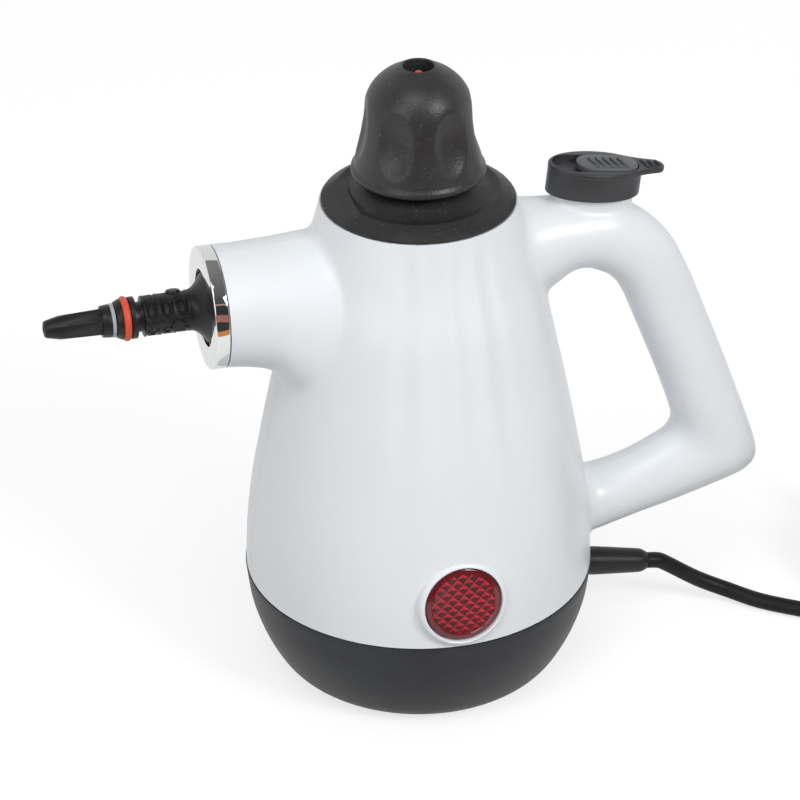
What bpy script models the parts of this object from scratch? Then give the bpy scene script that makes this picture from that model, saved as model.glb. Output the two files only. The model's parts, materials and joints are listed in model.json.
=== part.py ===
# Handheld steam cleaner, modelled in metres with +Z up.
# The origin is the middle of the flat underside of the base. The spout points to -X, the handle
# to +X, and the indicator lens faces -Y.

import math

import bmesh
import bpy
from mathutils import Matrix, Vector

# Driving sizes of the whole cleaner
body_radius = 0.065
base_height = 0.042
housing_height = 0.1505
moulded_wall = 0.0025
gap = 0.0003
running_gap = 0.0004
overrun = 0.005

seam_height = base_height
rim_height = base_height + housing_height

# Outlines of the turned shells: share of the height, share of the body radius
base_outline_shares = (
    (0.0, 0.695), (0.05, 0.757), (0.13, 0.817), (0.25, 0.868), (0.45, 0.928), (0.7, 0.977),
    (1.0, 1.003))
housing_outline_shares = (
    (0.0, 0.998), (0.08, 0.992), (0.166, 0.975), (0.266, 0.942), (0.465, 0.854), (0.664, 0.755),
    (0.764, 0.702), (0.864, 0.627), (1.0, 0.546))
cavity_row_shares = (0.0, 0.166, 0.465, 0.764, 1.0)

# Base cup
base_floor = 0.003
base_lip_height = 0.004
base_lip_wall = 0.0018
post_radius = 0.005
post_bore = 0.0034
post_shoulder = 0.004
post_count = 3

# Flutes down both sides of the housing
flute_depth = 0.0008
flute_pitch_degrees = 14.7
flute_count = 4
flute_end_share = 0.3
side_steps = 16
plain_steps = 9

# Spout: share of the reach, then the drop of the middle, the half height and the half width as
# shares of the spout radius
spout_reach = 0.0746
spout_radius = 0.0222
spout_drop = 0.0325
spout_height = rim_height - spout_drop
spout_shares = (
    (1.0, 0.0, 1.0, 1.0), (0.885, 0.03, 1.02, 1.015), (0.775, 0.08, 1.085, 1.05),
    (0.73, 0.16, 1.2, 1.08), (0.66, 0.28, 1.38, 1.13), (0.56, 0.4, 1.5, 1.2), (0.4, 0.5, 1.6, 1.25))

# Handle stations: the outer point, then the inner point, each as a share of the handle's reach and a
# share of the rim's height, and last the half width as a share of the handle's
handle_reach = 0.134
handle_half_width = 0.0129
handle_shares = (
    (0.2239, 0.9719, 0.2239, 0.7273, 1.628),
    (0.3321, 0.9631, 0.3687, 0.7875, 1.233),
    (0.3903, 0.9605, 0.4254, 0.8130, 1.132),
    (0.5373, 0.9506, 0.4664, 0.8135, 1.047),
    (0.6007, 0.9304, 0.5037, 0.8026, 1.023),
    (0.6642, 0.8961, 0.5328, 0.7912, 1.008),
    (0.7179, 0.8519, 0.5612, 0.7704, 1.000),
    (0.7552, 0.8021, 0.5851, 0.7413, 1.000),
    (0.7881, 0.7496, 0.6090, 0.7018, 1.000),
    (0.8791, 0.5881, 0.7000, 0.5403, 1.000),
    (0.9373, 0.4810, 0.7418, 0.4540, 1.008),
    (0.9687, 0.4203, 0.7440, 0.4395, 1.008),
    (0.9918, 0.3719, 0.7388, 0.4265, 1.008),
    (0.9978, 0.3403, 0.7313, 0.4182, 1.008),
    (0.9799, 0.3190, 0.7231, 0.4119, 1.008),
    (0.9328, 0.3023, 0.7112, 0.4052, 1.000),
    (0.7657, 0.2675, 0.6567, 0.3855, 0.969),
    (0.6522, 0.2483, 0.6022, 0.3699, 0.953),
    (0.5672, 0.2332, 0.5299, 0.3579, 0.977),
    (0.5112, 0.2239, 0.4813, 0.3584, 1.047),
    (0.3881, 0.2083, 0.3731, 0.3896, 1.318))

# Filler collar
collar_edge = 0.0005
collar_rim_radius = body_radius * housing_outline_shares[-1][1] - collar_edge
collar_slope = 0.0064
collar_ridge_radius = collar_rim_radius - collar_slope
collar_ridge_height = 0.0048
collar_hole_radius = 0.0137
collar_skirt_clearance = 0.0003
collar_skirt_radius = collar_rim_radius - moulded_wall - collar_skirt_clearance
collar_skirt_depth = 0.0065
collar_wall = 0.0022

# Bezel ring round the nozzle
bezel_radius = 0.0223
bezel_bore = 0.014
bezel_thickness = 0.0054
bezel_face = 0.0016
bezel_sleeve = 0.0015
bezel_edge = 0.0006

# Nozzle, measured forward from the front end of the spout
nozzle_bore = 0.0015
nozzle_base_radius = 0.0128
nozzle_flare_start = 0.0044
nozzle_flare_end = 0.0121
nozzle_flare_shares = (
    (0.0, 0.0), (0.1, 0.1), (0.24, 0.37), (0.46, 0.66), (0.7, 0.87), (1.0, 1.0))
nozzle_neck_radius = 0.0074
nozzle_band_radius = 0.0069
nozzle_neck_end = 0.0287
nozzle_groove_radius = 0.0055
nozzle_groove_width = 0.002
nozzle_collar_radius = 0.0076
nozzle_seat_start = 0.0322
nozzle_seat_width = 0.0032
nozzle_seat_radius = 0.0048
nozzle_waist_radius = 0.0064
nozzle_ring_start = 0.0374
nozzle_ring_width = 0.002
nozzle_ring_seat_radius = 0.0044
nozzle_ring_radius = 0.006
nozzle_shoulder_end = 0.0424
nozzle_tip_radius = 0.0054
nozzle_tip_end_radius = 0.0028
nozzle_tip_end = 0.063
slot_length = 0.0056
slot_width = 0.0022
slot_depth = 0.001
slot_row_count = 3
slots_round = 6
stud_radius = 0.0021
stud_reach = 0.0087
o_ring_radius = 0.0015
ring_clearance = 0.0003

# Socket behind the nozzle and the steam tube to it
socket_depth = 0.0235
socket_clearance = 0.0008
socket_flange = 0.0042
socket_body_radius = 0.0070
socket_nose_radius = 0.006
steam_tube_radius = 0.0025

# Boiler
boiler_inset = 0.0185
boiler_overhang = 0.0065
boiler_flange_radius = body_radius - boiler_inset
boiler_radius = boiler_flange_radius - boiler_overhang
boiler_wall = 0.003
boiler_floor = 0.006
boiler_rise = 0.008
boiler_bottom = base_height + boiler_rise
boiler_headroom = 0.0805
boiler_top = rim_height - boiler_headroom
boiler_flange = 0.0035
lid_inset = 0.0105
lid_radius = boiler_flange_radius - lid_inset
lid_height = 0.016
lid_top = boiler_top + lid_height
boiler_gasket_thickness = 0.001
neck_radius = 0.0132
neck_bore = 0.0103
neck_drop = 0.001
neck_top = rim_height - neck_drop
lid_screw_count = 4
lid_screw_inset = 0.0033
lid_screw_circle = boiler_flange_radius - lid_screw_inset
lid_screw_radius = 0.0016
lid_screw_head_radius = 0.0029
lid_screw_head = 0.0022
lid_screw_length = 0.0062

# Heater parts under and beside the boiler
element_inset = 0.0185
element_circle = boiler_radius - element_inset
element_radius = 0.003
post_inset = 0.007
post_circle = boiler_radius - post_inset
element_arc_degrees = 300.0
element_tail = 0.009
thermostat_radius = 0.0085
thermostat_height = 0.007
thermostat_tab = 0.0045
fuse_radius = 0.0022
fuse_length = 0.012
fuse_rise = 0.021
fuse_height = boiler_bottom + fuse_rise

# Steam valve
valve_reach = 0.026
valve_radius = 0.0055
valve_foot_radius = 0.007
valve_foot_height = 0.008
lever_drop = 0.0183
lever_top = rim_height - lever_drop
valve_drop = 0.0162
valve_top = lever_top - valve_drop
valve_bore = 0.0018
valve_bore_depth = 0.018
valve_outlet_drop = 0.012
valve_outlet_height = valve_top - valve_outlet_drop
valve_outlet_radius = 0.0038
valve_outlet_reach = 0.0105
stem_radius = 0.0014
stem_depth = 0.016
stem_bottom = valve_top - stem_depth
stem_proud = 0.0033
stem_top = lever_top + stem_proud
stem_collar_radius = 0.0026
stem_collar = 0.0014
stem_clearance = 0.0007

# Trigger button on the top of the handle
trigger_place_share = 0.3182
trigger_reach = collar_rim_radius + (handle_reach - collar_rim_radius) * trigger_place_share
trigger_travel = 0.003
button_half_length = 0.0177
button_half_width = 0.0107
button_proud = 0.00475
button_top_height = rim_height + button_proud
button_depth = 0.01075
button_skirt_height = button_top_height - button_depth
button_top_slope = -0.145
button_skirt_slope = -0.1215
button_skirt_wall = 0.0015
button_rim = 0.0003
button_pocket_depth = 0.0026
button_web = 0.0015
button_pocket_half_length = 0.0163
button_pocket_half_width = 0.0072
tail_reach = 0.0265
tail_radius = 0.0034
tail_thickness = 0.0021
tail_tangent_degrees = 55.0
tail_tip_degrees = 66.0
tail_rib_count = 3
pedestal_clearance = 0.0004
pedestal_depth = 0.03725
pedestal_foot = button_top_height - pedestal_depth
spring_seat_depth = 0.01445
spring_seat_height = button_top_height - spring_seat_depth
spring_seat_radius = 0.0052
spring_pad_radius = 0.0046
spring_pad_depth = 0.00635
spring_pad_height = button_top_height - spring_pad_depth
button_stem_radius = 0.0016
button_stem_clearance = 0.0005

# Lock slider on the button
slider_half_length = 0.0122
slider_half_width = 0.0066
slider_travel = 0.007
slider_proud = 0.0003
rib_height = 0.0007
rib_width = 0.0013
rib_pitch = 0.003
slider_rib_count = 5
slider_rib_start = -0.0042
rib_length_share = 0.72

# Valve lever inside the handle arm
pivot_setback = 0.0185
lever_pivot_reach = trigger_reach - pivot_setback
pivot_drop = 0.0047
lever_pivot_height = lever_top - pivot_drop
lever_thickness = 0.003
lever_half_width = 0.004
lever_back = 0.0045
lever_back_reach = trigger_reach + lever_back
lever_front = 0.0045
lever_front_reach = valve_reach - lever_front
fork_depth = 0.0025
lever_slot_back = valve_reach + fork_depth
lever_slot_half_width = 0.0019
lever_eye_radius = 0.0034
pin_radius = 0.0015
pin_half_length = 0.0085
pin_boss_radius = 0.0038
pin_boss_inner = 0.0047
pin_boss_reach = 0.0135

# Indicator lamp
# Distances along the lens's own axis are measured outwards from the middle of its face
lens_rise = 0.0174
lens_height = base_height + lens_rise
lens_aside = 0.0013
lens_proud = 0.0002
lens_tilt_degrees = 7.0
lens_radius = 0.0143
lens_lip_radius = 0.0166
lens_lip_face = -0.0004
lens_dome = 0.0012
lens_flange_radius = 0.0158
lens_flange_front = -0.0074
lens_flange = 0.0012
lens_depth = 0.026
lens_clearance = 0.0003
lamp_holder_radius = 0.013
lamp_holder_depth = 0.0125
lamp_holder_wall = 0.0015
lamp_radius = 0.0028
lamp_length = 0.007

# Mains cord, its strain relief and its clamp
cord_radius = 0.0031
cord_length = 2.5
gland_height = 0.0272
gland_seat = 0.003
gland_wall_reach = body_radius - gland_seat
gland_drop_degrees = 9.8
gland_radius = 0.0055
gland_tip_radius = 0.0041
gland_nose_radius = 0.0034
gland_length = 0.0298
gland_nose = 0.0022
gland_flange_radius = 0.0075
gland_flange = 0.002
gland_inset = 0.0045
tower_inset = 0.022
tower_reach = body_radius - tower_inset
tower_half_length = 0.005
tower_half_width = 0.009
tower_height = 0.0215
clamp_thickness = 0.0026
clamp_screw_offset = 0.0066
clamp_screw_radius = 0.0012
clamp_screw_head_radius = 0.0022
clamp_screw_head = 0.0014
clamp_screw_depth = 0.006
block_setback = 0.029
block_reach = tower_reach - block_setback
block_half_length = 0.009
block_half_width = 0.009
block_height = 0.013
block_entry_height = 0.0095
block_slot_count = 3
block_slot_half_width = 0.0016
block_slot_depth = 0.003
# The lead inside is placed from the tower, and the cord outside from the wall of the base
lead_route = (
    (0.0085, 0.0, 0.0263), (0.0045, 0.0, 0.0250), (0.0, 0.0, 0.0249), (-0.0045, 0.0, 0.0250),
    (-0.0085, 0.0, 0.0242), (-0.0120, 0.0, 0.0205), (-0.0140, 0.0, 0.0150))
cord_route = (
    (0.0380, 0.0002, 0.0190), (0.0505, -0.0010, 0.0105), (0.0624, -0.0045, 0.0052),
    (0.0725, -0.0123, 0.0034), (0.0855, -0.0221, 0.0034), (0.1020, -0.0333, 0.0036),
    (0.1190, -0.0440, 0.0041))
coil_entry = (0.1388, -0.0540, 0.0047)
coil_heading_degrees = -15.6
coil_turns = 10.25
coil_layers = 4
coil_pitch = 0.00675
coil_mean_radius = 0.03602
coil_points_per_turn = 24
tail_route_shares = ((0.24, 0.02, 0.90), (0.5, 0.03, 0.62), (0.76, 0.0, 0.28))
tail_run = 0.05
tie_angle_degrees = 120.0
tie_thickness = 0.001
tie_half_width = 0.005
tie_clearance = 0.0005
plug_height = 0.0188
plug_radius = 0.0185
plug_grip_radius = 0.0155
plug_relief_radius = 0.0046
plug_relief = 0.015
plug_body = 0.042
plug_notch_width = 0.006
plug_notch_depth = 0.003
plug_pin_radius = 0.0024
plug_pin_length = 0.019
plug_pin_spacing = 0.019
plug_pin_seat = 0.006

# Screws
base_screw_head_radius = 0.0029
base_screw_head = 0.0024
base_screw_radius = 0.0015
base_screw_depth = 0.0035
screw_hole_clearance = 0.0004
shell_screw_head_radius = 0.0029
shell_screw_head = 0.0022
shell_screw_radius = 0.0012
shell_screw_tip = 0.008
shell_screw_shoulder = 0.0062
shell_boss_radius = 0.0044
spout_screw_inset = 0.0126
spout_screw_drop = 0.012
spout_boss_reach = 0.015
# Screws through the handle: share of its reach, share of the rim's height, and the boss's reach to
# each side as a share of the handle's half width
shell_screw_shares = ((0.623, 0.8026, 0.893), (0.810, 0.527, 0.893), (0.657, 0.3139, 0.852))

# Twist cap
bell_radius = 0.024
bell_height = 0.0525
bell_hole = 0.0055
# From the rim of the top hole down to the skirt: share of the radius, share of the height
bell_outline_shares = (
    (0.383, 0.966), (0.521, 0.928), (0.65, 0.872), (0.733, 0.815), (0.783, 0.755),
    (0.808, 0.690), (0.835, 0.594), (0.873, 0.484), (0.908, 0.393), (0.937, 0.330),
    (0.968, 0.271), (0.998, 0.230))
bell_wall = 0.0023
bell_ceiling = 0.0435
bell_steps = 36
dimple_count = 6
dimple_turn_degrees = 50.9
dimple_depth = 0.0019
dimple_middle = 0.0315
dimple_half_height = 0.0150
dimple_half_width = 0.0068
dimple_radius_share = 0.8
guide_radius = 0.0115
guide_bottom = 0.0305
hex_radius = 0.008
hex_clearance = 0.0004
cap_travel = 0.003
cap_lift = 0.0075
plug_thread_radius = 0.0099
plug_bottom = -0.0085
plug_cup_radius = 0.006
core_flange_radius = 0.0155
core_flange_bottom = 0.0010
core_flange = 0.003
post_top = 0.0415
pin_bore = 0.0021
pin_chamber_radius = 0.0036
pin_chamber_top = 0.0300
relief_pin_radius = 0.0016
relief_collar_radius = 0.0032
relief_collar_bottom = 0.0220
relief_collar = 0.003
relief_bottom = 0.0120
relief_top = 0.0503
cap_gasket_radius = 0.013
cap_gasket_bore = 0.0106
cap_spring_radius = 0.0100
cap_spring_wire = 0.0006
cap_spring_turns = 5
trigger_spring_radius = 0.0038
trigger_spring_wire = 0.0004
trigger_spring_turns = 4
spring_points = 8

# Facet counts
cup_steps = 36
ring_steps = 28
nozzle_steps = 16
lathe_steps = 18
small_steps = 12
boss_steps = 8
tiny_steps = 6
handle_steps = 12
handle_void_steps = 8
spout_steps = 16
weld = 0.000002

up = Vector((0, 0, 1))
forward = Vector((-1, 0, 0))
across = Vector((0, 1, 0))


def clear_scene():
    for thing in list(bpy.data.objects):
        bpy.data.objects.remove(thing)


def finish(name, colour, roughness, metallic=0.0):
    made = bpy.data.materials.new(name)
    made.use_nodes = True
    shader = made.node_tree.nodes["Principled BSDF"]
    shader.inputs["Base Color"].default_value = (*colour, 1)
    shader.inputs["Roughness"].default_value = roughness
    shader.inputs["Metallic"].default_value = metallic
    return made


def new_piece(name, mesh):
    piece = bpy.data.objects.new(name, mesh)
    bpy.context.scene.collection.objects.link(piece)
    return piece


def from_bmesh(name, shape):
    bmesh.ops.recalc_face_normals(shape, faces=shape.faces)
    mesh = bpy.data.meshes.new(name)
    shape.to_mesh(mesh)
    shape.free()
    return new_piece(name, mesh)


def aim(direction, origin):
    # Turns local Z to the direction and moves the local origin to a place
    turn = up.rotation_difference(Vector(direction)).to_matrix().to_4x4()
    return Matrix.Translation(Vector(origin)) @ turn


def lathe(name, outline, steps, origin=(0, 0, 0), direction=(0, 0, 1), turn=0.0):
    # Spins a closed outline of (radius, height) pairs about the direction
    shape = bmesh.new()
    start = Matrix.Rotation(turn, 4, "Z")
    points = [shape.verts.new(start @ Vector((radius, 0, height))) for radius, height in outline]
    edges = [shape.edges.new(pair) for pair in zip(points, points[1:])]
    if outline[0][0] > 0 or outline[-1][0] > 0:
        edges.append(shape.edges.new((points[-1], points[0])))
    bmesh.ops.spin(
        shape, geom=points + edges, cent=(0, 0, 0), axis=(0, 0, 1), angle=math.tau,
        steps=steps, use_merge=True)
    bmesh.ops.remove_doubles(shape, verts=shape.verts, dist=gap * gap)
    bmesh.ops.transform(shape, matrix=aim(direction, origin), verts=shape.verts)
    return from_bmesh(name, shape)


def loft(name, rings):
    # Skins a list of rings of points and closes both ends
    shape = bmesh.new()
    rows = [[shape.verts.new(point) for point in ring] for ring in rings]
    count = len(rows[0])
    for low, high in zip(rows, rows[1:]):
        for here in range(count):
            after = (here + 1) % count
            shape.faces.new((low[here], low[after], high[after], high[here]))
    shape.faces.new(rows[0])
    shape.faces.new(rows[-1])
    return from_bmesh(name, shape)


def cylinder(name, start, end, radius, steps):
    start = Vector(start)
    reach = Vector(end) - start
    return lathe(
        name, ((0, 0), (radius, 0), (radius, reach.length), (0, reach.length)), steps,
        start, reach)


def block(name, low, high):
    shape = bmesh.new()
    bmesh.ops.create_cube(shape, size=1)
    size = Vector(high) - Vector(low)
    middle = (Vector(high) + Vector(low)) / 2
    placed = Matrix.Translation(middle) @ Matrix.Diagonal((*size, 1))
    bmesh.ops.transform(shape, matrix=placed, verts=shape.verts)
    return from_bmesh(name, shape)


def prism(name, outline, low, high):
    # An upright wall round an outline of (x, y), whose two ends follow functions of x
    bottom = [Vector((x, y, low(x))) for x, y in outline]
    top = [Vector((x, y, high(x))) for x, y in outline]
    return loft(name, (bottom, top))


def tube(name, points, radius, resolution):
    # A wire-like piece: a POLY curve with a round bevel and filled ends
    curve = bpy.data.curves.new(name, "CURVE")
    curve.dimensions = "3D"
    curve.bevel_depth = radius
    curve.bevel_resolution = resolution
    curve.use_fill_caps = True
    line = curve.splines.new("POLY")
    line.points.add(len(points) - 1)
    for knot, point in zip(line.points, points):
        knot.co = (*point, 1)
    line.use_smooth = True
    piece = new_piece(name, curve)
    return piece


def smooth_route(knots, spacing):
    # Points at even steps along a smooth curve through the knots
    knots = [Vector(knot) for knot in knots]
    ends = [2 * knots[0] - knots[1]] + knots + [2 * knots[-1] - knots[-2]]
    fine = []
    parts = 16
    for a, b, c, d in zip(ends, ends[1:], ends[2:], ends[3:]):
        for part in range(parts):
            t = part / parts
            fine.append(0.5 * (
                2 * b + (c - a) * t + (2 * a - 5 * b + 4 * c - d) * t ** 2
                + (3 * b - a - 3 * c + d) * t ** 3))
    fine.append(knots[-1])
    walked = [0.0]
    for before, after in zip(fine, fine[1:]):
        walked.append(walked[-1] + (after - before).length)
    count = max(2, round(walked[-1] / spacing))
    route = []
    at = 0
    for step in range(count + 1):
        wanted = walked[-1] * step / count
        while at < len(fine) - 2 and walked[at + 1] < wanted:
            at += 1
        span = walked[at + 1] - walked[at]
        route.append(fine[at].lerp(fine[at + 1], (wanted - walked[at]) / span))
    return route


def route_length(points):
    return sum((Vector(b) - Vector(a)).length for a, b in zip(points, points[1:]))


def weld_seams(mesh):
    # Closes the hairline splits that a Boolean can leave along an edge
    shape = bmesh.new()
    shape.from_mesh(mesh)
    bmesh.ops.remove_doubles(shape, verts=shape.verts, dist=weld)
    bmesh.ops.dissolve_degenerate(shape, edges=shape.edges, dist=weld)
    shape.to_mesh(mesh)
    shape.free()


def combine(piece, tool, operation):
    change = piece.modifiers.new(operation.lower(), "BOOLEAN")
    change.operation = operation
    change.solver = "EXACT"
    change.object = tool
    bpy.context.view_layer.update()
    graph = bpy.context.evaluated_depsgraph_get()
    shaped = bpy.data.meshes.new_from_object(piece.evaluated_get(graph))
    piece.modifiers.clear()
    weld_seams(shaped)
    old = piece.data
    piece.data = shaped
    bpy.data.meshes.remove(old)
    bpy.data.objects.remove(tool)
    return piece


def join(piece, *tools):
    for tool in tools:
        combine(piece, tool, "UNION")
    return piece


def cut(piece, *tools):
    for tool in tools:
        combine(piece, tool, "DIFFERENCE")
    return piece


def dress(piece, material, smooth_degrees=40.0):
    piece.data.materials.clear()
    piece.data.materials.append(material)
    if piece.type == "MESH":
        piece.data.shade_smooth()
        piece.data.set_sharp_from_angle(angle=math.radians(smooth_degrees))
    return piece


def hang(piece, joint):
    # Parents a piece to its joint's empty and keeps its shape in place
    if piece.type == "MESH":
        piece.data.transform(Matrix.Translation(-joint.location))
    piece.parent = joint
    if piece.type == "CURVE":
        piece.location = -joint.location
    return piece


def joint_empty(name, place):
    empty = bpy.data.objects.new(name, None)
    empty.location = place
    empty.empty_display_size = body_radius / 4
    bpy.context.scene.collection.objects.link(empty)
    return empty


def outline_radius(outline_shares, height_share):
    # Reads the radius of a turned outline between its points
    for (low, start), (high, end) in zip(outline_shares, outline_shares[1:]):
        if height_share <= high:
            return body_radius * (start + (end - start) * (height_share - low) / (high - low))
    return body_radius * outline_shares[-1][1]


def base_radius(height):
    return outline_radius(base_outline_shares, height / base_height)


def housing_radius(height):
    return outline_radius(housing_outline_shares, (height - seam_height) / housing_height)


def oval(half_length, half_width, steps, centre_x=0.0):
    turns = [math.tau * step / steps for step in range(steps)]
    return [
        (centre_x + half_length * math.cos(turn), half_width * math.sin(turn)) for turn in turns]


def stadium(half_length, half_width, steps, centre_x=0.0):
    # Two half rounds joined by straight sides
    straight = half_length - half_width
    points = []
    for side, start in ((1, -math.pi / 2), (-1, math.pi / 2)):
        for step in range(steps // 2 + 1):
            turn = start + math.pi * step / (steps // 2)
            points.append((
                centre_x + side * straight + half_width * math.cos(turn),
                half_width * math.sin(turn)))
    return points


# Base cup

def make_base_cup():
    lip_outer = body_radius * housing_outline_shares[0][1] - moulded_wall - gap
    lip_inner = lip_outer - base_lip_wall
    outer = [(radius * body_radius, height * base_height) for height, radius in base_outline_shares]
    inner = []
    for height, radius in base_outline_shares[-2:1:-2]:
        inner.append((min(radius * body_radius - moulded_wall, lip_inner), height * base_height))
    outline = [(0, 0)] + outer
    outline += [
        (lip_outer, base_height), (lip_outer, base_height + base_lip_height),
        (lip_inner, base_height + base_lip_height)]
    outline += inner
    outline += [(base_radius(base_floor) - moulded_wall * 2, base_floor), (0, base_floor)]
    cup = lathe("base_cup", outline, cup_steps)
    floor_middle = base_floor / 2
    for place in post_places():
        join(cup, cylinder(
            "post", place + up * floor_middle, place + up * (boiler_bottom - gap), post_radius,
            boss_steps))
    join(cup, block(
        "tower", (tower_reach - tower_half_length, -tower_half_width, floor_middle),
        (tower_reach + tower_half_length, tower_half_width, tower_height)))
    shoulder = boiler_bottom - gap - post_shoulder
    for place in post_places():
        cut(cup, cylinder(
            "well", place - up * overrun, place + up * shoulder, post_bore, boss_steps))
        cut(cup, cylinder(
            "screw_way", place, place + up * (boiler_bottom + overrun),
            base_screw_radius + screw_hole_clearance, tiny_steps))
    for side in (-1, 1):
        seat = Vector((tower_reach, side * clamp_screw_offset, tower_height))
        cut(cup, cylinder(
            "clamp_hole", seat - up * clamp_screw_depth, seat + up * overrun,
            clamp_screw_radius + gap, tiny_steps))
    cut(cup, cylinder(
        "lens_notch", lens_line(-lens_depth), lens_line(overrun), lens_flange_radius + running_gap,
        lathe_steps))
    way = gland_line(-gland_inset - gland_flange), gland_line(gland_length)
    cut(cup, cylinder("gland_hole", *way, gland_radius + gap, small_steps))
    return cup


def post_places():
    turns = [math.radians(90) + math.tau * step / post_count for step in range(post_count)]
    return [post_circle * Vector((math.cos(turn), math.sin(turn), 0)) for turn in turns]


def gland_line(distance):
    # A place on the strain relief's axis, measured outwards from the wall of the base
    drop = math.radians(gland_drop_degrees)
    start = Vector((gland_wall_reach, 0, gland_height))
    return start + distance * Vector((math.cos(drop), 0, -math.sin(drop)))


# Housing shells

def flute_offset(turn, height_share):
    # Depth of the flutes at an angle from the side direction
    pitch = math.radians(flute_pitch_degrees)
    side = abs(abs(turn) - math.pi / 2)
    if side > pitch * flute_count / 2 or height_share < flute_end_share:
        return 0.0
    fade = min(1.0, (height_share - flute_end_share) / flute_end_share)
    return flute_depth * fade * (1 - math.cos(math.tau * side / pitch)) / 2


def housing_turns():
    # Angles round the body, finer where the flutes are
    half = math.radians(flute_pitch_degrees) * flute_count / 2
    turns = []
    for middle in (-math.pi / 2, math.pi / 2):
        for step in range(side_steps):
            turns.append(middle - half + 2 * half * step / side_steps)
        for step in range(plain_steps):
            turns.append(middle + half + (math.pi - 2 * half) * step / plain_steps)
    return [math.remainder(turn, math.tau) for turn in turns]


def body_rings():
    rings = []
    for height_share, radius_share in housing_outline_shares:
        height = seam_height + gap + height_share * (housing_height - gap)
        ring = []
        for turn in housing_turns():
            radius = body_radius * radius_share - flute_offset(turn, height_share)
            ring.append(Vector((radius * math.cos(turn), radius * math.sin(turn), height)))
        rings.append(ring)
    return rings


def spout_rings(shrink, extra, steps):
    rings = []
    for place, drop, half_height, half_width in spout_shares:
        reach = spout_reach * place + (extra if place == spout_shares[0][0] else 0)
        middle = spout_height - drop * spout_radius
        ring = []
        for step in range(steps):
            turn = math.tau * step / steps
            ring.append(Vector((
                -reach, (half_width * spout_radius - shrink) * math.cos(turn),
                middle + (half_height * spout_radius - shrink) * math.sin(turn))))
        rings.append(ring)
    return rings


def handle_rings(shrink, steps, every=1):
    rings = []
    for out_x, out_z, in_x, in_z, half_width in handle_shares[::every]:
        outer = Vector((out_x * handle_reach, 0, out_z * rim_height))
        inner = Vector((in_x * handle_reach, 0, in_z * rim_height))
        middle = (outer + inner) / 2
        spoke = (outer - inner) / 2
        spoke -= spoke.normalized() * shrink
        side = across * (half_width * handle_half_width - shrink)
        turns = [math.tau * step / steps for step in range(steps)]
        rings.append([middle + spoke * math.cos(turn) + side * math.sin(turn) for turn in turns])
    return rings


def cavity_outline():
    outline = []
    for height_share in cavity_row_shares:
        height = seam_height + height_share * housing_height
        outline.append((housing_radius(height) - moulded_wall, height))
    foot = (outline[0][0], seam_height - overrun)
    head = (outline[-1][0], rim_height + overrun)
    return [(0, foot[1]), foot] + outline + [head, (0, head[1])]


def pedestal_top(x):
    drop = button_pocket_depth + button_web + trigger_travel + running_gap
    return button_top(x) - drop


def make_pedestal():
    shrink = button_skirt_wall + pedestal_clearance
    outline = oval(
        button_half_length - shrink, button_half_width - shrink, lathe_steps, trigger_reach)
    return prism("pedestal", outline, lambda x: pedestal_foot, pedestal_top)


def make_housing():
    # The outer form, then its hollow, then what is moulded inside it
    form = loft("form", body_rings())
    join(form, loft("spout", spout_rings(0, 0, spout_steps)))
    join(form, loft("handle", handle_rings(0, handle_steps)), make_pedestal())
    join(form, cylinder(
        "lip", lens_line(lens_flange_front), lens_line(lens_lip_face), lens_lip_radius,
        2 * small_steps))
    below = Vector((handle_reach, handle_reach, seam_height + gap))
    cut(form, block("below", Vector((-handle_reach, -handle_reach, -overrun)), below))
    cut(form, lathe("cavity", cavity_outline(), cup_steps))
    cut(form, loft("spout_void", spout_rings(moulded_wall, overrun, spout_steps)))
    cut(form, loft("handle_void", handle_rings(moulded_wall, handle_void_steps, 2)))
    cut(form, cylinder(
        "lens_hole", lens_line(-lens_depth), lens_line(overrun), lens_radius + lens_clearance,
        2 * small_steps))
    trigger = Vector((trigger_reach, 0, 0))
    cut(form, cylinder(
        "spring_well", trigger + up * spring_seat_height, trigger + up * button_top_height,
        spring_seat_radius, small_steps))
    cut(form, cylinder(
        "stem_way", trigger + up * lever_top, trigger + up * button_top_height,
        button_stem_radius + button_stem_clearance, tiny_steps))
    return form


def shell_screw_places():
    spout_place = Vector((
        spout_screw_inset - spout_reach, 0, spout_height - spout_screw_drop))
    places = [(spout_place, spout_boss_reach)]
    for reach, height, boss_reach in shell_screw_shares:
        place = Vector((reach * handle_reach, 0, height * rim_height))
        places.append((place, boss_reach * handle_half_width))
    return places


def make_shell(form, name, side):
    # One half of the housing: side is -1 for the lens side and 1 for the other
    shell = new_piece(name, form.data.copy())
    far = 2 * handle_reach
    near = side * gap / 2
    faces = sorted((near, side * far))
    combine(shell, block("half", (-far, faces[0], -far), (far, faces[1], far)), "INTERSECT")
    pivot = Vector((lever_pivot_reach, 0, lever_pivot_height))
    join(shell, cylinder(
        "pin_boss", pivot + across * side * pin_boss_inner, pivot + across * side * pin_boss_reach,
        pin_boss_radius, small_steps))
    cut(shell, cylinder(
        "pin_hole", pivot, pivot + across * side * (pin_half_length + gap), pin_radius + gap,
        tiny_steps))
    for place, boss_reach in shell_screw_places():
        join(shell, cylinder(
            "boss", place + across * near, place + across * side * boss_reach,
            shell_boss_radius, boss_steps))
        if side < 0:
            cut(shell, cylinder(
                "thread_hole", place - across * (shell_screw_tip + gap), place,
                shell_screw_radius + gap, tiny_steps))
            continue
        cut(shell, cylinder(
            "screw_way", place, place + across * handle_reach,
            shell_screw_radius + screw_hole_clearance, tiny_steps))
        cut(shell, cylinder(
            "head_well", place + across * shell_screw_shoulder, place + across * handle_reach,
            shell_screw_head_radius + screw_hole_clearance, boss_steps))
    return shell


# Filler collar

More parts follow.
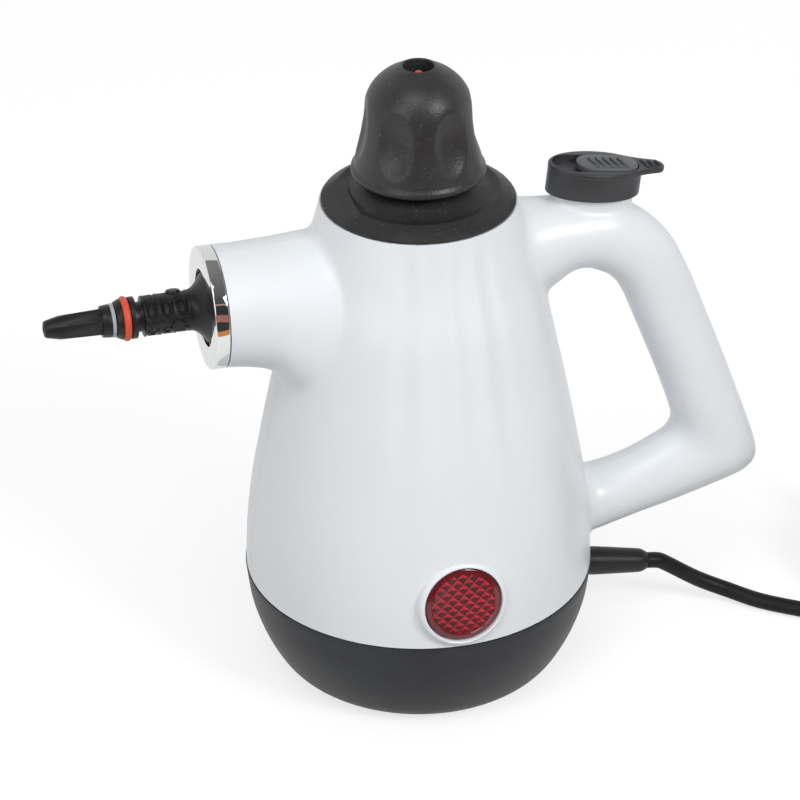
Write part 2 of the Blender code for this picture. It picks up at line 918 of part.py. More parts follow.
def make_collar():
    foot = gap
    outline = (
        (collar_rim_radius, foot), (collar_ridge_radius + collar_wall * 0.3, collar_ridge_height * 0.95),
        (collar_ridge_radius - collar_wall * 0.2, collar_ridge_height),
        (collar_ridge_radius * 0.8, collar_ridge_height * 0.4),
        (collar_hole_radius, 0), (collar_hole_radius, -collar_wall),
        (collar_skirt_radius - collar_wall, -collar_wall),
        (collar_skirt_radius - collar_wall, -collar_skirt_depth),
        (collar_skirt_radius, -collar_skirt_depth), (collar_skirt_radius, foot))
    return lathe("fill_collar", outline, ring_steps, (0, 0, rim_height))


# Bezel and nozzle

def spout_front():
    return Vector((-spout_reach, 0, spout_height))


def make_bezel():
    sleeve_outer = spout_radius - moulded_wall - socket_clearance
    sleeve_inner = sleeve_outer - bezel_face
    back = bezel_thickness - bezel_face
    outline = (
        (bezel_bore, back), (bezel_bore, bezel_thickness - bezel_edge),
        (bezel_bore + bezel_edge, bezel_thickness), (bezel_radius - bezel_edge, bezel_thickness),
        (bezel_radius, bezel_thickness - bezel_edge), (bezel_radius, gap),
        (sleeve_outer, gap), (sleeve_outer, -bezel_sleeve), (sleeve_inner, -bezel_sleeve),
        (sleeve_inner, back))
    return lathe("spout_bezel", outline, ring_steps, spout_front(), forward)


def nozzle_rows():
    # The middles of the slot rows along the neck
    pitch = (nozzle_neck_end - nozzle_flare_end) / slot_row_count
    return [nozzle_flare_end + pitch * (row + 0.5) for row in range(slot_row_count)]


def make_nozzle():
    flare = nozzle_flare_end - nozzle_flare_start
    fall = nozzle_base_radius - nozzle_neck_radius
    base = gap - bezel_sleeve - gap
    outline = [(0, base), (nozzle_base_radius, base)]
    for along, down in nozzle_flare_shares:
        outline.append((nozzle_base_radius - fall * down, nozzle_flare_start + flare * along))
    for row in nozzle_rows():
        outline.append((nozzle_band_radius, row))
        outline.append((nozzle_neck_radius, row + (nozzle_neck_end - nozzle_flare_end) / 6))
    groove_end = nozzle_neck_end + nozzle_groove_width
    seat_end = nozzle_seat_start + nozzle_seat_width
    ring_end = nozzle_ring_start + nozzle_ring_width
    outline += [
        (nozzle_groove_radius, nozzle_neck_end), (nozzle_groove_radius, groove_end),
        (nozzle_collar_radius, groove_end), (nozzle_collar_radius, nozzle_seat_start),
        (nozzle_seat_radius, nozzle_seat_start), (nozzle_seat_radius, seat_end),
        (nozzle_neck_radius, seat_end), (nozzle_waist_radius, nozzle_ring_start),
        (nozzle_ring_seat_radius, nozzle_ring_start), (nozzle_ring_seat_radius, ring_end),
        (nozzle_ring_radius, ring_end), (nozzle_tip_radius * 1.05, nozzle_shoulder_end),
        (0, nozzle_shoulder_end)]
    nozzle = lathe("nozzle", outline, nozzle_steps, spout_front(), forward)
    for row in nozzle_rows():
        for step in range(slots_round):
            turn = math.radians(30) + math.tau * step / slots_round
            cut(nozzle, nozzle_slot(row, turn))
    for turn in (math.radians(-60), math.radians(120)):
        root = spout_front() + forward * nozzle_rows()[0]
        out = Vector((0, -math.cos(turn), math.sin(turn)))
        join(nozzle, cylinder(
            "stud", root + out * nozzle_seat_radius, root + out * stud_reach, stud_radius,
            small_steps))
    join(nozzle, make_tip())
    end = spout_front() + forward * (nozzle_tip_end + overrun)
    cut(nozzle, cylinder("bore", spout_front() - forward * overrun, end, nozzle_bore, small_steps))
    return nozzle


def nozzle_slot(row, turn):
    # A shallow slot that runs round the neck
    shape = bmesh.new()
    bmesh.ops.create_cube(shape, size=1)
    depth = 2 * slot_depth
    bmesh.ops.scale(shape, vec=(slot_width, depth, slot_length), verts=shape.verts)
    bmesh.ops.translate(shape, vec=(0, -nozzle_neck_radius, 0), verts=shape.verts)
    bmesh.ops.transform(
        shape, matrix=Matrix.Rotation(-turn, 4, "X"), verts=shape.verts)
    middle = spout_front() + forward * row
    bmesh.ops.translate(shape, vec=middle, verts=shape.verts)
    return from_bmesh("slot", shape)


def make_tip():
    # Six flats that run out into a cone, as on a sharpened pencil
    start = nozzle_shoulder_end - nozzle_ring_width / 2
    length = nozzle_tip_end - start
    taper = nozzle_tip_radius * 0.84
    flats = lathe(
        "tip_flats",
        ((0, start), (nozzle_tip_radius, start), (taper, nozzle_tip_end + overrun),
         (0, nozzle_tip_end + overrun)),
        6, spout_front(), forward)
    cone = lathe(
        "tip_cone",
        ((0, start - overrun), (nozzle_tip_radius * 1.2, start - overrun),
         (nozzle_tip_radius * 1.2, start + length * 0.3), (nozzle_tip_end_radius, nozzle_tip_end),
         (0, nozzle_tip_end)),
        nozzle_steps, spout_front(), forward)
    return combine(flats, cone, "INTERSECT")


def make_o_ring():
    outline = []
    middle = nozzle_seat_radius + ring_clearance + o_ring_radius
    height = nozzle_seat_start + nozzle_seat_width / 2
    sides = 7
    for step in range(sides):
        turn = math.tau * step / sides
        outline.append((
            middle + o_ring_radius * math.cos(turn), height + o_ring_radius * 0.86 * math.sin(turn)))
    return lathe("nozzle_o_ring", outline, nozzle_steps, spout_front(), forward)


def make_seal_ring():
    inner = nozzle_ring_seat_radius + ring_clearance
    low = nozzle_ring_start + gap
    high = nozzle_ring_start + nozzle_ring_width - gap
    outline = ((inner, low), (nozzle_ring_radius, low), (nozzle_ring_radius, high), (inner, high))
    return lathe("nozzle_seal_ring", outline, nozzle_steps, spout_front(), forward)


def make_socket():
    flange_outer = spout_radius - moulded_wall - socket_clearance
    front = -bezel_sleeve - gap
    back = front - socket_flange
    outline = (
        (nozzle_bore, -socket_depth), (socket_nose_radius, -socket_depth),
        (socket_body_radius, -socket_depth * 0.85), (socket_body_radius, back),
        (flange_outer, back), (flange_outer, front), (nozzle_bore, front))
    return lathe("nozzle_socket", outline, small_steps, spout_front(), forward)


def make_steam_tube():
    start = Vector((valve_reach, valve_outlet_reach + gap, valve_outlet_height))
    end = spout_front() - forward * (socket_depth + gap)
    bow = neck_radius + 4 * steam_tube_radius
    lead = 3 * steam_tube_radius
    knots = (
        start, start + across * lead, (valve_reach * 0.75, bow * 0.96, valve_outlet_height + lead / 4),
        (0, bow, valve_outlet_height + lead * 0.7), (-bow * 0.8, bow * 0.6, valve_outlet_height + lead),
        (-bow * 1.32, bow * 0.16, spout_height - lead / 8), end - forward * lead * 0.6, end)
    route = [start] + smooth_route(knots[1:-1], 3 * steam_tube_radius) + [end]
    return tube("steam_tube", route, steam_tube_radius, 1)


# Boiler and heater parts

def make_boiler_pot():
    inner = boiler_radius - boiler_wall
    edge = boiler_wall / 2
    outline = (
        (0, boiler_bottom), (boiler_radius - edge, boiler_bottom),
        (boiler_radius, boiler_bottom + edge), (boiler_radius, boiler_top - boiler_flange),
        (boiler_flange_radius, boiler_top - boiler_flange), (boiler_flange_radius, boiler_top),
        (inner, boiler_top), (inner, boiler_bottom + boiler_floor + edge),
        (inner - edge, boiler_bottom + boiler_floor), (0, boiler_bottom + boiler_floor))
    pot = lathe("boiler_pot", outline, lathe_steps)
    for place in post_places():
        start = place + up * (boiler_bottom - overrun)
        cut(pot, cylinder(
            "thread_hole", start, place + up * (boiler_bottom + base_screw_depth + gap),
            base_screw_radius + gap, tiny_steps))
    for place in lid_screw_places():
        cut(pot, cylinder(
            "flange_hole", place + up * (boiler_top - boiler_flange - overrun),
            place + up * (boiler_top + overrun), lid_screw_radius + gap, tiny_steps))
    return pot


def lid_screw_places():
    turns = [math.radians(45) + math.tau * step / lid_screw_count for step in range(lid_screw_count)]
    return [lid_screw_circle * Vector((math.cos(turn), math.sin(turn), 0)) for turn in turns]


def lid_base():
    return boiler_top + boiler_gasket_thickness + 2 * gap


def make_boiler_lid():
    low = lid_base()
    inner = lid_radius - boiler_wall
    edge = boiler_wall / 2
    outline = (
        (boiler_flange_radius, low), (boiler_flange_radius, low + boiler_flange),
        (lid_radius, low + boiler_flange), (lid_radius, lid_top - edge),
        (lid_radius - edge, lid_top), (neck_radius, lid_top), (neck_radius, neck_top),
        (neck_bore, neck_top), (neck_bore, lid_top - boiler_wall),
        (inner, lid_top - boiler_wall), (inner, low))
    lid = lathe("boiler_lid", outline, lathe_steps)
    for place in lid_screw_places():
        cut(lid, cylinder(
            "flange_hole", place + up * (low - overrun), place + up * (lid_top - overrun),
            lid_screw_radius + gap, tiny_steps))
    return lid


def make_boiler_gasket():
    low = boiler_top + gap
    high = low + boiler_gasket_thickness
    inner = boiler_radius - boiler_wall
    outer = lid_screw_circle - lid_screw_radius - gap * 2
    outline = ((inner, low), (outer, low), (outer, high), (inner, high))
    return lathe("boiler_gasket", outline, lathe_steps)


def screw(name, seat, direction, head_radius, head, radius, length, head_steps=6):
    # The seat is the underside of the head, and the direction points from it out of the head
    outline = (
        (0, -length), (radius, -length), (radius, 0), (head_radius, 0), (head_radius, head * 0.6),
        (head_radius * 0.7, head), (0, head))
    return lathe(name, outline, head_steps, seat, direction)


def make_lid_screws():
    screws = []
    for number, place in enumerate(lid_screw_places()):
        screws.append(screw(
            "lid_screw_%d" % (number + 1), place + up * (lid_base() + boiler_flange + gap), up,
            lid_screw_head_radius, lid_screw_head, lid_screw_radius, lid_screw_length))
    return screws


def make_element():
    height = boiler_bottom - gap - element_radius
    arc = math.radians(element_arc_degrees)
    steps = 14
    turns = [math.radians(-90) + (math.tau - arc) / 2 + arc * step / steps for step in range(steps + 1)]
    ring = [
        Vector((element_circle * math.cos(turn), element_circle * math.sin(turn), height))
        for turn in turns]
    ends = []
    for end, near in ((ring[0], ring[1]), (ring[-1], ring[-2])):
        away = (end - near).normalized()
        bend = end + away * element_radius - up * element_radius / 2
        ends.append((bend, bend + away * element_radius / 2 - up * element_tail))
    points = [ends[0][1], ends[0][0]] + ring + [ends[1][0], ends[1][1]]
    return tube("heating_element", points, element_radius, 1)


def make_thermostat():
    top = boiler_bottom - gap
    disc = cylinder(
        "thermostat", (0, 0, top - thermostat_height), (0, 0, top), thermostat_radius, small_steps)
    for side in (-1, 1):
        low = Vector((
            side * thermostat_radius * 0.5 - gap, -thermostat_tab / 2,
            top - thermostat_height - thermostat_tab))
        high = Vector((side * thermostat_radius * 0.5 + gap, thermostat_tab / 2, top - gap))
        join(disc, block("tab", low, high))
    return disc


def make_fuse():
    # The flats of the boiler and of the fuse face each other
    touch = boiler_radius * math.cos(math.pi / lathe_steps)
    reach = touch + gap + fuse_radius * math.cos(math.pi / tiny_steps)
    middle = Vector((0, reach, fuse_height))
    half = up * fuse_length / 2
    fuse = cylinder("thermal_fuse", middle - half, middle + half, fuse_radius, tiny_steps)
    join(fuse, cylinder(
        "fuse_leads", middle - 2 * half, middle + 2 * half, fuse_radius / 4, tiny_steps))
    return fuse


# Steam valve and its lever

def make_valve_body():
    foot = lid_top + gap
    outline = (
        (0, foot), (valve_foot_radius, foot), (valve_foot_radius, foot + valve_foot_height),
        (valve_radius, foot + valve_foot_height), (valve_radius, valve_top), (0, valve_top))
    valve = lathe("steam_valve", outline, small_steps, (valve_reach, 0, 0))
    centre = Vector((valve_reach, 0, 0))
    outlet = centre + up * valve_outlet_height
    join(valve, cylinder(
        "outlet", outlet + across * stem_radius, outlet + across * valve_outlet_reach,
        valve_outlet_radius, small_steps))
    cut(valve, cylinder(
        "stem_bore", centre + up * (valve_top - valve_bore_depth),
        centre + up * (valve_top + overrun), valve_bore, tiny_steps))
    return valve


def make_valve_stem():
    collar = lever_top + stem_clearance
    outline = (
        (0, stem_bottom), (stem_radius, stem_bottom), (stem_radius, collar),
        (stem_collar_radius, collar), (stem_collar_radius, collar + stem_collar),
        (stem_radius, collar + stem_collar), (stem_radius, stem_top), (0, stem_top))
    return lathe("valve_stem", outline, small_steps, (valve_reach, 0, 0))


def make_valve_lever():
    low = lever_top - lever_thickness
    lever = block(
        "valve_lever", (lever_front_reach, -lever_half_width, low),
        (lever_back_reach, lever_half_width, lever_top))
    pivot = Vector((lever_pivot_reach, 0, lever_pivot_height))
    join(lever, cylinder(
        "eye", pivot - across * lever_half_width, pivot + across * lever_half_width,
        lever_eye_radius, small_steps))
    cut(lever, cylinder(
        "eye_hole", pivot - across * pin_boss_reach, pivot + across * pin_boss_reach,
        pin_radius + gap, tiny_steps))
    cut(lever, block(
        "fork", (lever_front_reach - overrun, -lever_slot_half_width, low - overrun),
        (lever_slot_back, lever_slot_half_width, lever_top + overrun)))
    return lever


def make_lever_pin():
    pivot = Vector((lever_pivot_reach, 0, lever_pivot_height))
    half = across * pin_half_length
    return cylinder("lever_pin", pivot - half, pivot + half, pin_radius, tiny_steps)


# Trigger button and lock slider

def button_top(x):
    return button_top_height + button_top_slope * (x - trigger_reach)


def button_skirt(x):
    return button_skirt_height + button_skirt_slope * (x - trigger_reach)


def tail_outline():
    # The oval of the button drawn out to a rounded tail
    points = []
    start = math.radians(tail_tangent_degrees)
    steps = lathe_steps
    for step in range(steps + 1):
        turn = start + (math.tau - 2 * start) * step / steps
        points.append((
            trigger_reach + button_half_length * math.cos(turn),
            button_half_width * math.sin(turn)))
    tip = math.radians(tail_tip_degrees)
    tip_steps = tiny_steps
    for step in range(tip_steps + 1):
        turn = -tip + 2 * tip * step / tip_steps
        points.append((
            trigger_reach + tail_reach - tail_radius + tail_radius * math.cos(turn),
            tail_radius * math.sin(turn)))
    return points


def rib_bars(name, first, count, half_width, height):
    # Low bars across the top, in line with its slope
    bars = []
    for number in range(count):
        middle = trigger_reach + first + rib_pitch * number
        low = button_top(middle) + height - rib_width
        outline = (
            (middle - rib_width / 2, low), (middle + rib_width / 2, low),
            (middle + rib_width / 2, low + rib_width), (middle, low + rib_width + rib_height),
            (middle - rib_width / 2, low + rib_width))
        rings = [
            [Vector((x, side * half_width, z)) for x, z in outline] for side in (-1, 1)]
        bars.append(loft("%s_%d" % (name, number), rings))
    return bars


def make_button():
    button = prism(
        "trigger_button",
        oval(button_half_length - button_rim, button_half_width - button_rim, ring_steps,
             trigger_reach),
        button_skirt, lambda x: button_top(x) - tail_thickness / 2)
    join(button, prism("tail", tail_outline(), lambda x: button_top(x) - tail_thickness, button_top))
    pocket = stadium(
        button_pocket_half_length, button_pocket_half_width, lathe_steps, trigger_reach)
    cut(button, prism(
        "pocket", pocket, lambda x: button_top(x) - button_pocket_depth,
        lambda x: button_top(x) + overrun))
    hollow = oval(
        button_half_length - button_skirt_wall, button_half_width - button_skirt_wall,
        lathe_steps, trigger_reach)
    cut(button, prism(
        "hollow", hollow, lambda x: button_skirt(x) - overrun,
        lambda x: button_top(x) - button_pocket_depth - button_web))
    bottom = lever_top + button_stem_clearance
    web = button_pocket_depth + button_web / 2
    join(button, prism(
        "pad", oval(spring_pad_radius, spring_pad_radius, small_steps, trigger_reach),
        lambda x: spring_pad_height, lambda x: button_top(x) - web))
    foot = Vector((trigger_reach, 0, bottom))
    join(button, cylinder(
        "stem", foot, Vector((trigger_reach, 0, button_top_height - web)), button_stem_radius,
        small_steps))
    first = tail_reach - tail_radius - rib_pitch * (tail_rib_count - 1) / 2
    join(button, *rib_bars("tail_rib", first, tail_rib_count, tail_radius * 0.7, 0))
    return button


def make_slider():
    rest = button_pocket_half_length - running_gap - slider_half_length
    outline = stadium(slider_half_length, slider_half_width, lathe_steps, trigger_reach + rest)
    slider = prism(
        "lock_slider", outline, lambda x: button_top(x) - button_pocket_depth + gap,
        lambda x: button_top(x) + slider_proud)
    join(slider, *rib_bars(
        "slider_rib", rest + slider_rib_start, slider_rib_count,
        slider_half_width * rib_length_share, slider_proud))
    return slider


def spring(name, centre, low, high, radius, wire, turns):
    # An open helix with its two ends inside the stated heights
    points = []
    count = turns * spring_points
    for step in range(count + 1):
        turn = math.tau * step / spring_points
        height = low + wire + (high - low - 2 * wire) * step / count
        points.append(Vector((
            centre[0] + radius * math.cos(turn), centre[1] + radius * math.sin(turn), height)))
    piece = tube(name, points, wire, 1)
    if turns > 1:
        print(name, "least gap to itself", round(((high - low - 2 * wire) / turns - 2 * wire) * 1000, 2), "mm")
    return piece


# Indicator lens and lamp

def lens_line(distance):
    # A place on the lens's axis, measured outwards from the middle of its face
    tilt = math.radians(lens_tilt_degrees)
    start = Vector((-lens_aside, -body_radius - lens_proud, lens_height))
    return start + distance * Vector((0, -math.cos(tilt), math.sin(tilt)))


def lens_lathe(name, outline, steps):
    return lathe(name, outline, steps, lens_line(0), lens_line(overrun) - lens_line(0))


def make_lens():
    outline = (
        (0, lens_flange_front - lens_flange), (lens_flange_radius, lens_flange_front - lens_flange),
        (lens_flange_radius, lens_flange_front), (lens_radius, lens_flange_front),
        (lens_radius, -lens_dome), (lens_radius * 0.93, -lens_dome * 0.55),
        (lens_radius * 0.6, -lens_dome * 0.2), (0, 0))
    return lens_lathe("indicator_lens", outline, 2 * small_steps)


def make_lamp_holder():
    front = lens_flange_front - lens_flange - gap
    back = front - lamp_holder_depth
    inner = lamp_holder_radius - lamp_holder_wall
    outline = (
        (0, back), (lamp_holder_radius, back), (lamp_holder_radius, front), (inner, front),
        (inner, back + lamp_holder_wall), (0, back + lamp_holder_wall))
    return lens_lathe("lamp_holder", outline, lathe_steps)


def make_lamp():
    back = lens_flange_front - lens_flange - lamp_holder_depth + lamp_holder_wall
    outline = (
        (0, back), (lamp_radius, back), (lamp_radius, back + lamp_length * 0.8),
        (lamp_radius * 0.6, back + lamp_length), (0, back + lamp_length))
    return lens_lathe("indicator_lamp", outline, tiny_steps)


# Cord entry

def make_gland():
    drop = math.radians(gland_drop_degrees)
    line = Vector((math.cos(drop), 0, -math.sin(drop)))
    inside = -gland_inset
    outline = (
        (0, inside - gland_flange), (gland_flange_radius, inside - gland_flange),
        (gland_flange_radius, inside), (gland_radius, inside),
        (gland_radius, gland_length * 0.3), (gland_tip_radius, gland_length - gland_nose),
        (gland_nose_radius, gland_length), (0, gland_length))
    return lathe("cord_gland", outline, lathe_steps, gland_line(0), line)


def make_inner_lead():
    start = gland_line(-gland_inset - gland_flange - gap)
    end = Vector((block_reach + block_half_length + gap, 0, block_entry_height))
    lead = Vector((2 * cord_radius, 0, 0))
    knots = [start - (gland_line(2 * cord_radius) - gland_line(0))]
    tower = Vector((tower_reach, 0, 0))
    knots += [tower + Vector(point) for point in lead_route] + [end + lead]
    route = [start] + smooth_route(knots, 2 * cord_radius) + [end]
    return tube("inner_lead", route, cord_radius, 2)


def make_clamp():
    low = tower_height + 2 * cord_radius + 2 * gap
    clamp = block(
        "cord_clamp", (tower_reach - tower_half_length * 0.7, -tower_half_width, tower_height + gap),
        (tower_reach + tower_half_length * 0.7, tower_half_width, low + clamp_thickness))
    way = Vector((overrun + tower_half_length, 0, 0))
    middle = Vector((tower_reach, 0, tower_height + cord_radius + gap))
    cut(clamp, cylinder(
        "cord_way", middle - way, middle + way, cord_radius + gap * 1.5, small_steps))
    cut(clamp, block(
        "cord_mouth",
        (tower_reach - overrun - tower_half_length, -cord_radius - gap * 1.5, 0),
        (tower_reach + overrun + tower_half_length, cord_radius + gap * 1.5, middle.z)))
    for side in (-1, 1):
        place = Vector((tower_reach, side * clamp_screw_offset, 0))
        cut(clamp, cylinder(
            "screw_way", place, place + up * (low + clamp_thickness + overrun),
            clamp_screw_radius + gap, tiny_steps))
    return clamp


def make_clamp_screws():
    seat = tower_height + 2 * cord_radius + 3 * gap + clamp_thickness
    screws = []
    for number, side in enumerate((-1, 1)):
        place = Vector((tower_reach, side * clamp_screw_offset, seat))
        length = seat - tower_height + clamp_screw_depth - gap
        screws.append(screw(
            "clamp_screw_%d" % (number + 1), place, up, clamp_screw_head_radius,
            clamp_screw_head, clamp_screw_radius, length))
    return screws


def make_terminal_block():
    low = base_floor + gap
    terminals = block(
        "terminal_block", (block_reach - block_half_length, -block_half_width, low),
        (block_reach + block_half_length, block_half_width, low + block_height))
    pitch = 2 * block_half_width / block_slot_count
    for number in range(block_slot_count):
        middle = -block_half_width + pitch * (number + 0.5)
        top = low + block_height
        cut(terminals, block(
            "wire_slot", (block_reach - block_half_length * 0.5, middle - block_slot_half_width,
                          top - block_slot_depth),
            (block_reach + block_half_length * 0.5, middle + block_slot_half_width, top + overrun)))
    return terminals


# Mains cord, coil and plug

def make_mains_cord():
    start = gland_line(gland_length + gap)
    straight = gland_line(gland_length + gap + 1.5 * cord_radius)
    heading = coil_direction(0)
    wall = Vector((gland_wall_reach, 0, 0))
    end = coil_start() - heading * 2 * cord_radius
    knots = [straight] + [wall + Vector(point) for point in cord_route]
    knots.append(end - heading * 2 * cord_radius)
    route = [start] + smooth_route(knots, 4 * cord_radius) + [end - heading * gap]
    return tube("mains_cord", route, cord_radius, 2), route


def coil_start():
    return Vector((gland_wall_reach, 0, 0)) + Vector(coil_entry)


def coil_direction(turns):
    turn = math.radians(coil_heading_degrees) + math.tau * turns
    return Vector((math.cos(turn), math.sin(turn), 0))


def coil_radius(turns):
    # In and out again at a steady rate, once for each layer
    layer_turns = coil_turns / coil_layers
    half = coil_pitch * layer_turns / 2
    layer = int(min(turns / layer_turns, coil_layers - 1))
    share = turns / layer_turns - layer
    sign = 1 if layer % 2 == 0 else -1
    return coil_mean_radius + sign * half * (1 - 2 * share)


def coil_height(turns):
    # Each climb takes the half turn about a reversal
    height = coil_entry[2]
    layer_turns = coil_turns / coil_layers
    for layer in range(1, coil_layers):
        begun = (turns - layer * layer_turns) * 2 + 0.5
        share = min(1.0, max(0.0, begun))
        height += coil_pitch * share * share * (3 - 2 * share)
    return height


def coil_centre():
    turn = math.radians(coil_heading_degrees)
    left = Vector((-math.sin(turn), math.cos(turn), 0))
    centre = coil_start() + left * coil_radius(0)
    return Vector((centre.x, centre.y, 0))


def coil_point(turns):
    turn = math.radians(coil_heading_degrees) - math.pi / 2 + math.tau * turns
    spoke = Vector((math.cos(turn), math.sin(turn), 0)) * coil_radius(turns)
    return coil_centre() + spoke + up * coil_height(turns)


def least_self_gap(points, apart):
    # The least distance between places on the tube that are more than half a turn apart
    least = coil_mean_radius
    for first in range(len(points)):
        for second in range(first + apart, len(points)):
            least = min(least, (points[first] - points[second]).length)
    return least - 2 * cord_radius


def make_coil():
    count = round(coil_turns * coil_points_per_turn)
    points = [coil_point(coil_turns * step / count) for step in range(count + 1)]
    straight = 2 * cord_radius
    points = [points[0] - coil_direction(0) * straight] + points
    points.append(points[-1] + coil_direction(coil_turns) * straight)
    space = least_self_gap(points, coil_points_per_turn // 2)
    print("cord_coil least gap to itself", round(space * 1000, 2), "mm")
    return tube("cord_coil", points, cord_radius, 1), points


def plug_start(coil_end):
    run = coil_direction(coil_turns) * tail_run
    return Vector((coil_end.x + run.x, coil_end.y + run.y, plug_height))


def make_tail(coil_end):
    heading = coil_direction(coil_turns)
    side = Vector((heading.y, -heading.x, 0))
    start = coil_end + heading * gap
    end = plug_start(coil_end) - heading * gap
    fall = coil_end.z - plug_height
    knots = [start, start + heading * 2 * cord_radius]
    for along, aside, high in tail_route_shares:
        place = coil_end + heading * tail_run * along + side * tail_run * aside
        knots.append(Vector((place.x, place.y, plug_height + fall * high)))
    knots.append(end - heading * 1.5 * cord_radius)
    route = [start] + smooth_route(knots[1:], 3 * cord_radius) + [end]
    return tube("mains_cord_end", route, cord_radius, 2), route


def make_tie():
    half = coil_pitch * coil_turns / coil_layers / 2
    inner = coil_mean_radius - half - cord_radius - tie_clearance
    outer = coil_mean_radius + half + cord_radius + tie_clearance
    reach = math.sqrt(inner ** 2 - tie_half_width ** 2)
    low = coil_entry[2] - cord_radius - tie_clearance
    high = coil_height(coil_turns) + cord_radius + tie_clearance
    sizes = (
        (reach - tie_thickness, outer + tie_thickness, low - tie_thickness, high + tie_thickness),
        (reach, outer, low, high))
    frames = []
    for number, (near, far, bottom, top) in enumerate(sizes):
        width = tie_half_width * (1 + number)
        outline = ((near, bottom), (far, bottom), (far, top), (near, top))
        frames.append(loft(
            "cord_tie" if number == 0 else "tie_void",
            [[Vector((x, side * width, z)) for x, z in outline] for side in (-1, 1)]))
    tie = cut(frames[0], frames[1])
    turn = Matrix.Rotation(math.radians(tie_angle_degrees), 4, "Z")
    tie.data.transform(Matrix.Translation(coil_centre()) @ turn)
    return tie


def make_plug(start):
    heading = coil_direction(coil_turns)
    end = plug_relief + plug_body
    outline = (
        (0, 0), (plug_relief_radius * 0.9, 0), (plug_relief_radius, plug_relief * 0.9),
        (plug_relief_radius * 1.3, plug_relief), (plug_grip_radius * 0.75, plug_relief * 1.25),
        (plug_grip_radius, plug_relief + plug_body * 0.3),
        (plug_grip_radius * 0.97, plug_relief + plug_body * 0.55),
        (plug_radius * 0.97, plug_relief + plug_body * 0.66), (plug_radius, end - plug_notch_depth),
        (plug_radius, end), (0, end))
    plug = lathe("plug_body", outline, lathe_steps, start, heading)
    side = Vector((heading.y, -heading.x, 0))
    for number in (-1, 1):
        place = start + heading * end + side * number * plug_pin_spacing / 2
        cut(plug, cylinder(
            "pin_seat", place - heading * plug_pin_seat, place + heading * overrun,
            plug_pin_radius + gap, small_steps))
        rim = start + heading * end + up * number * plug_radius
        notch = block("notch", (-plug_notch_depth, -plug_notch_width / 2, -plug_body * 0.3),
                      (plug_notch_depth, plug_notch_width / 2, overrun))
        turn = Matrix((-up, side, heading)).transposed().to_4x4()
        notch.data.transform(Matrix.Translation(rim) @ turn)
        cut(plug, notch)
    return plug


def make_plug_pins(start):
    heading = coil_direction(coil_turns)
    side = Vector((heading.y, -heading.x, 0))
    pins = []
    for number, sign in enumerate((-1, 1)):
        face = start + heading * (plug_relief + plug_body) + side * sign * plug_pin_spacing / 2
        seat = plug_pin_seat - gap
        round_end = plug_pin_radius / 2
        outline = (
            (0, -seat), (plug_pin_radius, -seat), (plug_pin_radius, plug_pin_length - round_end),
            (plug_pin_radius * 0.6, plug_pin_length), (0, plug_pin_length))
        pins.append(lathe("plug_pin_%d" % (number + 1), outline, small_steps, face, heading))
    return pins


# Screws from outside

def make_base_screws():
    screws = []
    seat = boiler_bottom - 2 * gap - post_shoulder
    length = boiler_bottom + base_screw_depth - seat
    for number, place in enumerate(post_places()):
        screws.append(screw(
            "base_screw_%d" % (number + 1), place + up * seat, -up, base_screw_head_radius,
            base_screw_head, base_screw_radius, length))
    return screws


def make_shell_screws():
    screws = []
    for number, (place, boss_reach) in enumerate(shell_screw_places()):
        seat = place + across * (shell_screw_shoulder + gap)
        screws.append(screw(
            "shell_screw_%d" % (number + 1), seat, across, shell_screw_head_radius,
            shell_screw_head, shell_screw_radius, seat.y + shell_screw_tip))
    return screws


# Twist cap

def dimple_offset(turn, height):
    # How far the surface falls in at an angle and height, in soft oval dimples
    pitch = math.tau / dimple_count
    near = math.remainder(turn - math.radians(dimple_turn_degrees), pitch)
    arc = near * bell_radius * dimple_radius_share / dimple_half_width
    rise = (height - dimple_middle) / dimple_half_height
    away = math.hypot(arc, rise)
    if away >= 1:
        return 0.0
    return dimple_depth * (1 - away ** 2.4)


def make_bell():
    rings = []
    outline = [(radius * bell_radius, height * bell_height) for radius, height in bell_outline_shares]
    outline = [(bell_hole, bell_height)] + outline
    for radius, height in reversed(outline):
        ring = []
        for step in range(bell_steps):
            turn = math.tau * step / bell_steps
            reach = radius - dimple_offset(turn, height)
            ring.append(Vector((
                reach * math.cos(turn), reach * math.sin(turn), rim_height + height)))
        rings.append(ring)
    bell = loft("cap_bell", rings)
    foot = outline[-1][1] - overrun
    hollow = [(0, foot), (outline[-1][0] - bell_wall, foot)]
    for radius, height in outline[-1:5:-2]:
        hollow.append((radius - bell_wall - dimple_depth, height))
    hollow += [(outline[5][0] - bell_wall - dimple_depth, bell_ceiling), (0, bell_ceiling)]
    cut(bell, lathe("hollow", hollow, lathe_steps, (0, 0, rim_height)))
    top = bell_height
    guide = (
        (0, guide_bottom), (guide_radius, guide_bottom),
        (guide_radius, (bell_ceiling + top) / 2), (0, (bell_ceiling + top) / 2))
    join(bell, lathe("guide", guide, lathe_steps, (0, 0, rim_height)))
    cut(bell, hex_bar(
        "hex_way", guide_bottom - overrun, post_top + cap_travel + 2 * gap,
        hex_radius + hex_clearance))
    cut(bell, cylinder(
        "top_hole", (0, 0, rim_height + post_top), (0, 0, rim_height + top + overrun),
        bell_hole, small_steps))
    return bell


def hex_bar(name, low, high, radius):
    outline = ((0, low), (radius, low), (radius, high), (0, high))
    return lathe(name, outline, 6, (0, 0, rim_height))


